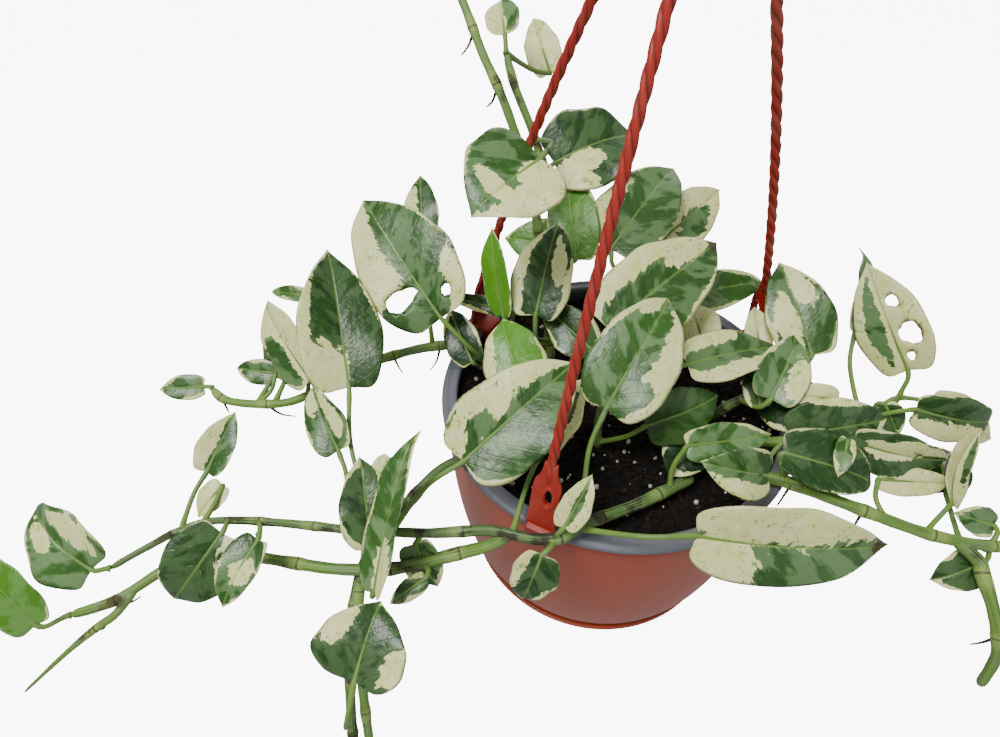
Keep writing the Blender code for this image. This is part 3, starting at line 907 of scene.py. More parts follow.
@dataclass
class Pot:
    """The two-colour pot and its saucer. Sizes are in millimetres."""
    lip_radius: float = 100.0
    lip_inner: float = 91.0
    lip_depth: float = 4.0
    depth: float = 138.0
    base_radius: float = 68.0
    side_inset: float = 2.5
    shell: float = 1.8
    gap: float = 0.4
    shoulder: float = 2.3
    saucer_depth: float = 10.0
    saucer_flange: float = 3.4
    side_points: int = 28
    steps: int = 128

    def side(self, radius: float, base: float, depth: float, top: float) -> list[tuple[float, float]]:
        """Draws a bowl's side.

        Args:
            radius: how far out it starts.
            base: how far out it ends.
            depth: how far below the rim it ends.
            top: the height that it starts at.

        Returns:
            (radius, height) from the top down.
        """
        rows = []
        for i in range(self.side_points + 1):
            fall = 1.0 - (1.0 - i / self.side_points) ** 1.5
            share = max(0.0, 1.0 - fall ** self.shoulder) ** (1.0 / self.shoulder)
            rows.append((base + (radius - base) * share, top - (depth + top) * fall))
        return rows

    def turned(self, name: str, profile: list, finish: bpy.types.Material) -> bpy.types.Object:
        """A turned piece of the pot.

        Args:
            name: its name.
            profile: its (radius, height) points.
            finish: its material.

        Returns:
            The piece.
        """
        skin = Skin()
        skin.add(*lathe(profile, self.steps))
        return skin.build(name, [finish])

    def build(self) -> None:
        """Makes the bowl, the grey liner with its lip, and the saucer."""
        clay, grey = TERRACOTTA.make(), GREY.make()
        top = -self.lip_depth - self.gap
        radius = self.lip_radius - self.side_inset
        deep = self.depth + self.shell + self.gap
        outer = self.side(radius, self.base_radius + 2.0, deep, top)
        inside = self.side(radius - self.shell, self.base_radius + 1.0, self.depth + self.gap, top)
        bowl = [(0.0, inside[-1][1])] + inside[::-1] + [(radius - 0.9, top + 0.3)]
        bowl += outer + [(0.0, outer[-1][1])]
        wear(self.turned("pot_outer_bowl", bowl, clay), "outer_bowl")

        inner = radius - self.shell - self.gap
        liner = self.side(inner, self.base_radius, self.depth, -self.lip_depth)
        well = self.side(inner - self.shell, self.base_radius - 1.0, self.depth - self.shell,
                         -self.lip_depth - 3.0)
        near, far, under = self.lip_inner, self.lip_radius, -self.lip_depth
        lip = [(near, under), (near, -2.2), (near + 0.35, -0.9), (near + 1.3, -0.25), (near + 3.0, -0.55),
               (far - 3.8, -0.55), (far - 3.1, -0.1), (far - 2.4, 0.0), (far - 1.7, -0.1), (far - 1.2, -0.55),
               (far - 0.6, -0.8), (far - 0.15, -1.3), (far, -2.0), (far, -3.4), (far - 0.4, under),
               (inner + 1.0, under)]
        body = [(0.0, well[-1][1])] + well[::-1] + lip + liner + [(0.0, liner[-1][1])]
        wear(self.turned("pot_liner_and_lip", body, grey), "inner_pot")

        foot = outer[-1][1]
        dish = [(r + self.gap, z) for r, z in outer if z < foot + self.saucer_depth]
        dish[-1] = (dish[-1][0], foot - self.gap)
        edge, level = dish[0][0] + self.saucer_flange, dish[0][1]
        under = [(edge - 0.6, level + 0.2), (edge, level - 0.4), (edge, level - 1.6),
                 (edge - 0.5, level - 2.1), (dish[0][0] + self.shell, level - 2.6)]
        under += [(r + self.shell, z - self.shell) for r, z in dish[1:-1]]
        under += [(dish[-1][0] - 4.0, foot - self.gap - self.shell), (dish[-1][0] - 12.0, foot - 1.2),
                  (0.0, foot - 1.2)]
        saucer = [(0.0, foot - self.gap)] + dish[::-1] + under
        wear(self.turned("pot_saucer", saucer, clay), "drip_saucer")


@dataclass
class Soil:
    """Potting mix with perlite, fibres and fine roots. Sizes are in millimetres."""
    radius: float = 92.0
    edge: float = -9.5
    mound: float = 3.0
    depth: float = 120.0
    rings: int = 70
    spokes: int = 150
    foot: float = 0.72
    fine_roots: int = 34
    root_joints: int = 7
    root_stride: float = 4.5

    def height(self, x: float, y: float) -> float:
        """The soil's level.

        Args:
            x: the place, to the right.
            y: the place, to the back.

        Returns:
            The height above the rim.
        """
        out = math.hypot(x, y) / self.radius
        lumps = noise.noise(Vector((x * 0.07, y * 0.07, 1.0))) * 2.2
        crumbs = noise.noise(Vector((x * 0.28, y * 0.28, 5.0))) * 1.3
        grit = noise.noise(Vector((x * 0.8, y * 0.8, 9.0))) * 0.7
        return self.edge + self.mound * (1.0 - out * out) + lumps + crumbs + grit - 0.8

    def top(self, reach: float) -> tuple[Points, list[list[int]]]:
        """The bumpy surface.

        Args:
            reach: its radius.

        Returns:
            Its vertices in the frame's metres, and its faces.
        """
        points, faces = [], []
        for i in range(self.rings + 1):
            out = reach * i / self.rings
            for k in range(self.spokes):
                turn = 2 * math.pi * k / self.spokes
                x, y = out * math.cos(turn), out * math.sin(turn)
                points.append(at(x, y, self.height(x, y)))
        for i in range(self.rings):
            faces += band(i * self.spokes, (i + 1) * self.spokes, self.spokes)
        return np.array(points), faces

    def crumb(self, name: str, shape: tuple[float, float, float], detail: int) -> bpy.types.Object:
        """A lump for strewing, one metre across before it is shaped.

        Args:
            name: its name.
            shape: how much it is squeezed along each axis.
            detail: how finely it is divided.

        Returns:
            The lump.
        """
        mesh = bpy.data.meshes.new(name)
        lump = bmesh.new()
        bmesh.ops.create_icosphere(lump, subdivisions=detail, radius=0.5)
        for vertex in lump.verts:
            vertex.co *= 1.0 + 0.35 * noise.noise(vertex.co * 3.0)
            vertex.co = Vector((vertex.co.x * shape[0], vertex.co.y * shape[1], vertex.co.z * shape[2]))
        lump.to_mesh(mesh)
        lump.free()
        return placed(name, mesh)

    def build(self, paths: PathSkin) -> None:
        """Makes the mix and what lies in it.

        Args:
            paths: the tree that skins the fine roots.
        """
        mix, fibre = POTTING_MIX.make(), FIBRE.make()
        skin = Skin()
        points, faces = self.top(self.radius)
        bottom = points[-self.spokes:] * (self.foot, self.foot, 0.0) + (0.0, 0.0, RIM.z - self.depth * MM)
        count = len(points)
        faces += band(count - self.spokes, count, self.spokes)
        faces.append([count + k for k in range(self.spokes)][::-1])
        skin.add(np.vstack([points, bottom]), faces)
        wear(skin.build("soil_body", [mix]), "potting_soil")

        ground = Skin()
        ground.add(*self.top(self.radius - 3.0))
        surface = ground.build("soil_surface", [mix])
        scatter = Scatter()
        crumbs = (("soil_perlite", (1.0, 0.85, 0.8), 2, 8500.0, 4, (0.0010, 0.0036), PERLITE.make()),
                  ("soil_crumbs", (1.0, 0.8, 0.7), 1, 110000.0, 8, (0.0012, 0.0042), mix),
                  ("soil_bark", (1.0, 0.45, 0.25), 1, 9000.0, 2, (0.003, 0.0085), fibre),
                  ("soil_fibres", (1.0, 0.045, 0.045), 1, 16000.0, 6, (0.006, 0.016), fibre))
        for name, shape, detail, density, seed, sizes, finish in crumbs:
            lump = self.crumb(name + "_lump", shape, detail)
            wear(scatter.strew(name, surface, lump, density, seed, sizes, finish), slot="potting_mix")
        bpy.data.objects.remove(surface, do_unlink=True)

        rng = np.random.default_rng(12)
        roots = []
        for _ in range(self.fine_roots):
            turn, out = rng.uniform(0, 2 * np.pi), rng.uniform(10, 70)
            x, y, way = out * math.cos(turn), out * math.sin(turn), rng.uniform(0, 2 * np.pi)
            line = []
            for _ in range(self.root_joints):
                line.append(at(x, y, self.height(x, y) + rng.uniform(0.2, 1.4)))
                way += rng.uniform(-0.7, 0.7)
                x, y = x + self.root_stride * math.cos(way), y + self.root_stride * math.sin(way)
                if math.hypot(x, y) > self.radius - 6:
                    break
            if len(line) < 3:
                continue
            route = spline(line, 0.0015)
            roots.append((route, np.linspace(0.0006, 0.0002, len(route)), np.zeros(len(route))))
        wear(paths.skin("soil_fine_roots", roots, fibre, sides=6), slot="potting_mix")


# ---------------------------------------------------------------- hook and hangers

@dataclass
class Hangers:
    """Hook, hub and three twisted hangers with their clips.

    Sizes are in millimetres above the rim, but the hub's and the hook's are above the hanging point.
    """
    lip_radius: float = Pot.lip_radius
    lip_inner: float = Pot.lip_inner
    gap: float = Pot.gap
    foot_radius: float = 104.0
    bow: float = 9.6
    rise: float = 282.7
    strand: float = 2.45
    pitch: float = 26.0
    lobe: float = 0.3
    clip_height: float = 42.0
    clip_width: float = 13.0
    clip_thick: float = 2.6
    out_leg: float = 7.0
    in_leg: float = 7.5
    hook_radius: float = 17.0
    hook_wire: float = 3.0
    hook_start: int = -45
    hook_end: int = 226
    hook_step: int = 18
    hub_top: float = -44.0
    hub_bottom: float = -55.0
    hub_radius: float = 11.0
    angles: tuple = (("front", -103.0), ("right", 41.0), ("left", 159.0))

    def middle(self, height: float) -> tuple[float, float]:
        """A strand's distance from the axis and its height."""
        t = height / self.rise
        return self.foot_radius * (1 - t) + self.bow * 4 * t * (1 - t), height

    def outline(self, name: str, loops: Sequence[Sequence[tuple[float, float]]], thick: float,
                round_off: float) -> bpy.types.Mesh:
        """A plate with rounded edges, cut to closed loops.

        Args:
            name: the mesh's name.
            loops: the outline, then any hole's.
            thick: its thickness.
            round_off: the radius of its edges.

        Returns:
            The mesh, in millimetres.
        """
        curve = bpy.data.curves.new(name, "CURVE")
        curve.dimensions = "2D"
        curve.fill_mode = "BOTH"
        curve.extrude = thick / 2 - round_off
        curve.bevel_depth = round_off
        curve.bevel_resolution = 3
        for loop in loops:
            line = curve.splines.new("POLY")
            line.points.add(len(loop) - 1)
            for knot, (x, y) in zip(line.points, loop):
                knot.co = (x, y, 0.0, 1.0)
            line.use_cyclic_u = True
        plate = placed(name, curve)
        bpy.context.view_layer.update()
        mesh = bpy.data.meshes.new_from_object(plate.evaluated_get(bpy.context.evaluated_depsgraph_get()))
        bpy.data.objects.remove(plate, do_unlink=True)
        shape = bmesh.new()
        shape.from_mesh(mesh)
        bmesh.ops.remove_doubles(shape, verts=shape.verts, dist=0.001)
        bmesh.ops.recalc_face_normals(shape, faces=shape.faces)
        shape.to_mesh(mesh)
        shape.free()
        return mesh

    def clip_outline(self) -> list[tuple[float, float]]:
        """The clip's flat shape, upwards along its height, tapering into the strand's neck."""
        half, high = self.clip_width / 2, self.clip_height
        right = [(half + 0.5, 0.6), (half + 0.3, 6.0), (half, 14.0), (half - 0.3, high - 12.0),
                 (half - 0.9, high - 8.5), (half - 2.2, high - 6.0), (3.6, high - 4.0), (2.9, high - 1.0),
                 (2.5, high + 3.0)]
        return right + [(-x, y) for x, y in right[::-1]]

    def eye(self, wide: float, tall: float) -> list[tuple[float, float]]:
        """The slot's outline, set off to one side."""
        turn = np.linspace(0.0, 2 * np.pi, 28, endpoint=False)
        return [(1.4 + wide * math.cos(a), 0.58 * self.clip_height + tall * math.sin(a)) for a in turn]

    def build(self, paths: PathSkin) -> None:
        """Makes every hanger, the hub and the hook.

        Args:
            paths: the tree that skins the strands and the hook's wire.
        """
        plastic = HANGER.make()
        lean = math.atan2(self.middle(self.clip_height)[0] - self.lip_radius, self.clip_height)
        scale = Matrix.Scale(MM, 4)
        upright = Matrix(((0, 0, 1, 0), (1, 0, 0, 0), (0, 1, 0, 0), (0, 0, 0, 1)))
        for side, angle in self.angles:
            stand = (Matrix.Translation(RIM) @ Matrix.Rotation(math.radians(angle), 4, "Z") @ scale)
            heights = np.linspace(self.clip_height - 7.0, self.rise - 8.0, 260)
            line = [stand @ Vector((self.middle(h)[0], 0.0, h)) for h in heights]
            neck = np.clip((heights - heights[0]) / 16.0, 0.0, 1.0)
            girth = (self.strand * (0.72 + 0.28 * neck ** 0.5)) * MM
            girth[-8:] *= np.linspace(1.0, 0.8, 8)
            rope = paths.skin(f"hanger_{side}_strand", [(np.array(line), girth, np.zeros(len(line)))],
                              plastic, sides=30, lobe=self.lobe, pitch=-self.pitch * MM)
            wear(rope, f"hanger_{side}")
            lift = Matrix.Translation((self.lip_radius, 0, 0))
            leaned = stand @ lift @ Matrix.Rotation(lean, 4, "Y") @ upright
            wear(self.clip(f"hanger_{side}_clip", stand, leaned, plastic), f"hanger_{side}")
        self.hook(paths, plastic)

    def saddle_outline(self) -> list[tuple[float, float]]:
        """The clip's foot from the side: a leg inside the lip, the top and a leg outside it."""
        out, back, thick = self.lip_radius + self.gap, self.lip_inner - 2 * self.gap, self.clip_thick
        return [(back - thick, -self.in_leg), (back, -self.in_leg), (back, self.gap), (out, self.gap),
                (out, -self.out_leg), (out + thick, -self.out_leg), (out + thick, thick - 0.6),
                (out + thick - 0.8, thick), (back - thick + 0.8, thick), (back - thick, thick - 0.6)]

    def clip(self, name: str, stand: Matrix, leaned: Matrix, plastic: bpy.types.Material) -> bpy.types.Object:
        """Makes a clip: its slotted plate, the slot's raised border and the foot over the lip.

        Args:
            name: its name.
            stand: where the foot stands.
            leaned: where the plate stands.
            plastic: its material.

        Returns:
            The clip.
        """
        plate = self.outline("clip", [self.clip_outline(), self.eye(2.4, 6.0)], self.clip_thick, 0.7)
        border = self.outline("border", [self.eye(3.7, 7.4), self.eye(2.5, 6.1)], self.clip_thick + 1.0, 0.4)
        saddle = self.outline("saddle", [self.saddle_outline()], self.clip_width, 0.5)
        flat = Matrix(((1, 0, 0, 0), (0, 0, -1, 0), (0, 1, 0, 0), (0, 0, 0, 1)))
        joined = bmesh.new()
        for part, matrix in ((plate, leaned), (border, leaned), (saddle, stand @ flat)):
            part.transform(matrix)
            joined.from_mesh(part)
        mesh = bpy.data.meshes.new(name)
        joined.to_mesh(mesh)
        joined.free()
        mesh.materials.append(plastic)
        carry(mesh, "crest", np.full(len(mesh.vertices), UNSHADED_CREST))
        mesh.shade_smooth()
        mesh.set_sharp_from_angle(angle=math.radians(50))
        return placed(name, mesh)

    def hook(self, paths: PathSkin, plastic: bpy.types.Material) -> None:
        """Makes the hook's wire and the hub that the strands hang from.

        Args:
            paths: the tree that skins the wire.
            plastic: their material.
        """
        route = [(0.0, 0.0, self.hub_top - 4.0), (0.0, 0.0, self.hub_top + 4.0),
                 (4.0, 0.0, self.hub_top + 10.0)]
        for degrees in range(self.hook_start, self.hook_end, self.hook_step):
            a = math.radians(degrees)
            height = self.hook_radius * (math.sin(a) - 1.0) + self.hook_wire
            route.append((self.hook_radius * math.cos(a), 0.0, height))
        line = spline([Vector(place) * MM for place in route], 0.001)
        girth = np.full(len(line), self.hook_wire * MM)
        girth[-4:] *= (0.97, 0.88, 0.7, 0.4)
        wire = paths.skin("hook_wire", [(line, girth, np.zeros(len(line)))], plastic, sides=24)
        wear(wire, "hanger_hook")
        top, low, r = self.hub_top - RIM.z / MM, self.hub_bottom - RIM.z / MM, self.hub_radius
        profile = [(0.0, top + 1.0), (3.6, top + 1.0), (4.6, top + 0.2), (r - 3.0, top), (r - 2.0, top - 0.6),
                   (r - 0.2, low + 2.6), (r, low + 1.6), (r - 0.6, low + 0.2), (r - 1.4, low), (5.0, low),
                   (4.4, low + 1.0), (0.0, low + 1.0)]
        skin = Skin()
        skin.add(*lathe(profile, 64))
        hub = skin.build("hook_hub", [plastic])
        carry(hub.data, "crest", np.full(len(hub.data.vertices), UNSHADED_CREST))
        wear(hub, slot="orange_red_plastic")


# ---------------------------------------------------------------- stems

@dataclass
class Vines:
    """The stems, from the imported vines' own lines, with node collars and aerial roots.

    spacing and reach are in metres, and fork is how many millimetres back a branch leaves its parent.
    """
    sides: int = 8
    spacing: float = 0.034
    fork: int = 11
    reach: float = 0.014
    twin_start: float = 0.45
    twin_offset: tuple = (9.0, 2.0, 3.0)
    twin_radii: tuple = (2.6, 2.4, 2.2)
    woody: tuple = ("vine_front_old", "vine_drop_left", "stem_crown_centre", "stem_crown_right")

    def line(self, node: str) -> tuple[Points, Points]:
        """Reads a packed vine's own shape.

        Args:
            node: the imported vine.

        Returns:
            Its middle line and the radius at each point, from the pot outwards.
        """
        points, near, flats = merged(node)
        for cap in flats:
            spread = np.linalg.norm(points[list(cap)] - points[list(cap)].mean(axis=0), axis=1)
            is_round = np.ptp(spread) < 0.1 * spread.mean()
            rings = levels(near, cap)
            if is_round and len(rings) > 2 and all(len(ring) == self.sides for ring in rings):
                break
        else:
            raise ValueError(f"{node} has no round end")
        middles = np.array([points[ring].mean(axis=0) for ring in rings])
        radii = np.array([np.linalg.norm(points[ring] - middle, axis=1).mean()
                          for ring, middle in zip(rings, middles)])
        if np.linalg.norm(middles[0][:2]) > np.linalg.norm(middles[-1][:2]):
            middles, radii = middles[::-1], radii[::-1]
        return middles, radii

    def build(self, paths: PathSkin) -> dict[str, Points]:
        """Makes every stem.

        Args:
            paths: the tree that skins them.

        Returns:
            The fine route of each vine by name.
        """
        fresh, old, root = YOUNG_STEM.make(), OLD_STEM.make(), ROOT.make()
        routes, roots = {}, []
        names = [n for n in frame["nodes"] if n.startswith(("vine_", "stem_", "shoot_"))]
        lines = {name: self.line(name) for name in names}
        for number, node in enumerate(sorted(names)):
            middles, radii = lines[node]
            joint = self.parent(node, lines)
            if joint is not None:
                middles, radii = np.vstack([joint, middles]), np.concatenate([radii[:1], radii])
            route = spline(middles, 0.0012)
            strand, own = self.dressed(route, radii, number)
            wear(paths.skin(node + "_stem", [strand], old if node in self.woody else fresh, sides=16), node)
            routes[node] = route
            roots += own
        drop = routes["vine_drop_left"]
        lower = drop[int(self.twin_start * len(drop)):]
        aside = np.sin(np.linspace(0.0, 1.0, len(lower)) * np.pi / 2)[:, None]
        beside = lower + aside * np.array(self.twin_offset) * MM
        strand, own = self.dressed(beside, np.array(self.twin_radii) * MM, len(names))
        wear(paths.skin("drop_twin_stem", [strand], fresh, sides=16), slot="stem_green")
        roots += own
        wear(paths.skin("aerial_roots", roots, root, sides=7), slot="stem_old")
        return routes

    def dressed(self, route: Points, radii: Points, seed: int) -> tuple[tuple, list[tuple]]:
        """Gives a stem's route its girth, node collars and aerial roots.

        Args:
            route: the fine middle line.
            radii: the stem's radius at even shares of its length.
            seed: fixes where its nodes are.

        Returns:
            The strand to skin, and its roots' strands.
        """
        rng = np.random.default_rng(100 + seed)
        share = np.linspace(0.0, 1.0, len(route))
        girth = np.interp(share, np.linspace(0.0, 1.0, len(radii)), radii)
        run = share * np.linalg.norm(np.diff(route, axis=0), axis=1).sum()
        collar, roots = np.zeros(len(route)), []
        mark = rng.uniform(0.3, 0.8) * self.spacing
        while mark < run[-1] - 0.004:
            ring = np.exp(-((run - mark) / 0.0016) ** 2)
            swell = np.exp(-((run - mark - 0.002) / 0.006) ** 2)
            collar = np.maximum(collar, np.maximum(ring, swell * 0.75))
            girth = girth * (1 + 0.14 * swell + 0.06 * ring)
            roots.append(self.root(route, run, mark, girth, rng))
            mark += self.spacing * rng.uniform(0.75, 1.35)
        girth *= 1 + 0.025 * np.sin(run * 420 + seed)
        girth[:3] *= (0.6, 0.85, 0.96)
        girth[-4:] *= (0.97, 0.9, 0.74, 0.4)
        return (route, girth, collar), [r for r in roots if r]

    def parent(self, node: str, lines: dict[str, tuple[Points, Points]]) -> Points | None:
        """Finds where a branch leaves another stem, a little before the two come nearest.

        Args:
            node: the branch.
            lines: every vine's middle line and radii.

        Returns:
            The place, or None for a stem of its own.
        """
        start, onward = lines[node][0][0], lines[node][0][1] - lines[node][0][0]
        for other, (middles, _) in lines.items():
            fine = spline(middles, 0.001)
            gaps = np.linalg.norm(fine - start, axis=1)
            nearest = int(np.argmin(gaps))
            joint = fine[max(nearest - self.fork, 0)]
            follows = nearest > self.fork and (start - joint).dot(onward) > 0
            if other != node and follows and gaps[nearest] < self.reach:
                return joint
        return None

    def root(self, route: Points, run: Points, mark: float, girth: Points,
             rng: np.random.Generator) -> tuple[Points, Points, Points] | None:
        """Makes an aerial root below a node.

        Args:
            route: the stem's fine line.
            run: the distance along it at each point.
            mark: the node's distance along it.
            girth: the stem's radius at each point.
            rng: draws its length and lean.

        Returns:
            Its strand, or None where the node has no root.
        """
        long = rng.uniform(0.004, 0.018)
        if rng.uniform() > 0.55:
            return None
        i = int(np.argmin(np.abs(run - mark)))
        lean = rng.uniform(-0.6, 0.6, 3)
        start = route[i] - (0.0, 0.0, girth[i] * 0.7)
        bend = start + np.array((lean[0] * 0.4, lean[1] * 0.4, -0.6)) * long
        end = start + np.array((lean[0], lean[1], -1.0)) * long
        line = spline([start, bend, end], 0.0012)
        return line, np.linspace(0.00085, 0.0004, len(line)), np.zeros(len(line))


# ---------------------------------------------------------------- leaves

class Tone(Enum):
    """How dark a blade's green is."""
    PALE = 0.1
    MID = 0.4
    DARK = 0.75
    BLACK = 1.0


@dataclass(frozen=True)
class Look:
    """A blade's colouring.

    A patch is (along 0 to 1, across -1 to 1, half length, half width, cream or green), where
    across 1 is the right-hand margin seen from above with the tip away. A hole has the same four
    numbers, and glow is how much back-light shining through the blade is painted into its green.
    """
    tone: Tone = Tone.MID
    cream: bool = False
    margin: float = 1.5
    patches: tuple = ()
    scorch: float = 0.0
    glow: float = 0.0
    holes: tuple = ()

    def tear(self, s: Points, q: Points) -> tuple[Points, Points, Points]:
        """Tears the holes in a blade's grid.

        Args:
            s: how far along the blade each grid point is, 0 to 1.
            q: how far across it is, -1 to 1.

        Returns:
            The two grids with the holes' edges drawn smooth, and which cells are torn away.
        """
        middle_s, middle_q = (s[:-1, :-1] + s[1:, 1:]) / 2, (q[:-1, :-1] + q[1:, 1:]) / 2
        gone = np.zeros(middle_s.shape, bool)
        rows, columns = gone.shape
        for along, across, long, wide in self.holes:
            inside = np.hypot((middle_s - along) / long, (middle_q - across) / wide) < 1
            gone |= inside
            touching = np.zeros(s.shape, int)
            for down, over in ((0, 0), (0, 1), (1, 0), (1, 1)):
                touching[down:down + rows, over:over + columns] += inside
            edge = (touching > 0) & (touching < 4)
            turn = np.arctan2((q - across) / wide, (s - along) / long)
            ragged = 1 + 0.1 * np.sin(turn * 3 + along * 40) + 0.05 * np.sin(turn * 7 + across * 50)
            s = np.where(edge, along + long * ragged * np.cos(turn), s)
            q = np.where(edge, across + wide * ragged * np.sin(turn), q)
        return s, q, gone

    def field(self, s: Points, q: Points, half: Points, length: float, seed: int) -> Points:
        """Says where a blade is cream.

        Args:
            s: how far along the blade each grid point is, 0 to 1.
            q: how far across it is, -1 to 1.
            half: half the blade's width there, in metres.
            length: the blade's length in metres.
            seed: fixes the margin's waves.

        Returns:
            The cream field, -1 in green and 1 in cream.
        """
        value = np.full(s.shape, 0.9 if self.cream else -0.9)
        inset = np.minimum(half * (1 - np.abs(q)), (1 - s) * length * 0.5) / MM
        if self.margin:
            band = self.margin * (0.55 + 0.95 * np.sin(s * 7.5 + seed * 2.1 + np.sign(q) * 1.3))
            value = np.maximum(value, np.clip((band - inset) / 1.6, -1, 0.8))
        for along, across, long, wide, cream in self.patches:
            near = np.hypot((s - along) / long, (q - across) / wide)
            push = np.clip(2.2 * (1 - near), -1, 1)
            value = np.maximum(value, push) if cream else np.minimum(value, -push)
        return value


@dataclass
class Seat:
    """Where a blade sits: midrib from base to tip, bowed, and the petiole that leads to it."""
    base: Points
    tip: Points
    bow: Points
    side: Points
    width: float
    fold: float
    petiole: Points

    def midrib(self, t: Points) -> Points:
        """Points on the midrib."""
        t = np.asarray(t)[..., None]
        return self.base + (self.tip - self.base) * t + self.bow * 4 * t * (1 - t)

    def run(self, t: Points) -> Points:
        """The midrib's direction."""
        t = np.asarray(t)[..., None]
        return unit((self.tip - self.base) + self.bow * 4 * (1 - 2 * t))


@dataclass
class Form:
    """A blade's grid in space, before it gets its two sides. Lengths are in metres.

    s and q say how far along and across each point is, half is half the width there and lateral
    the distance from the midrib. gone marks the cells that are torn away.
    """
    s: Points
    q: Points
    gone: Points
    half: Points
    lateral: Points
    sheet: Points
    normal: Points
    thick: Points
    length: float


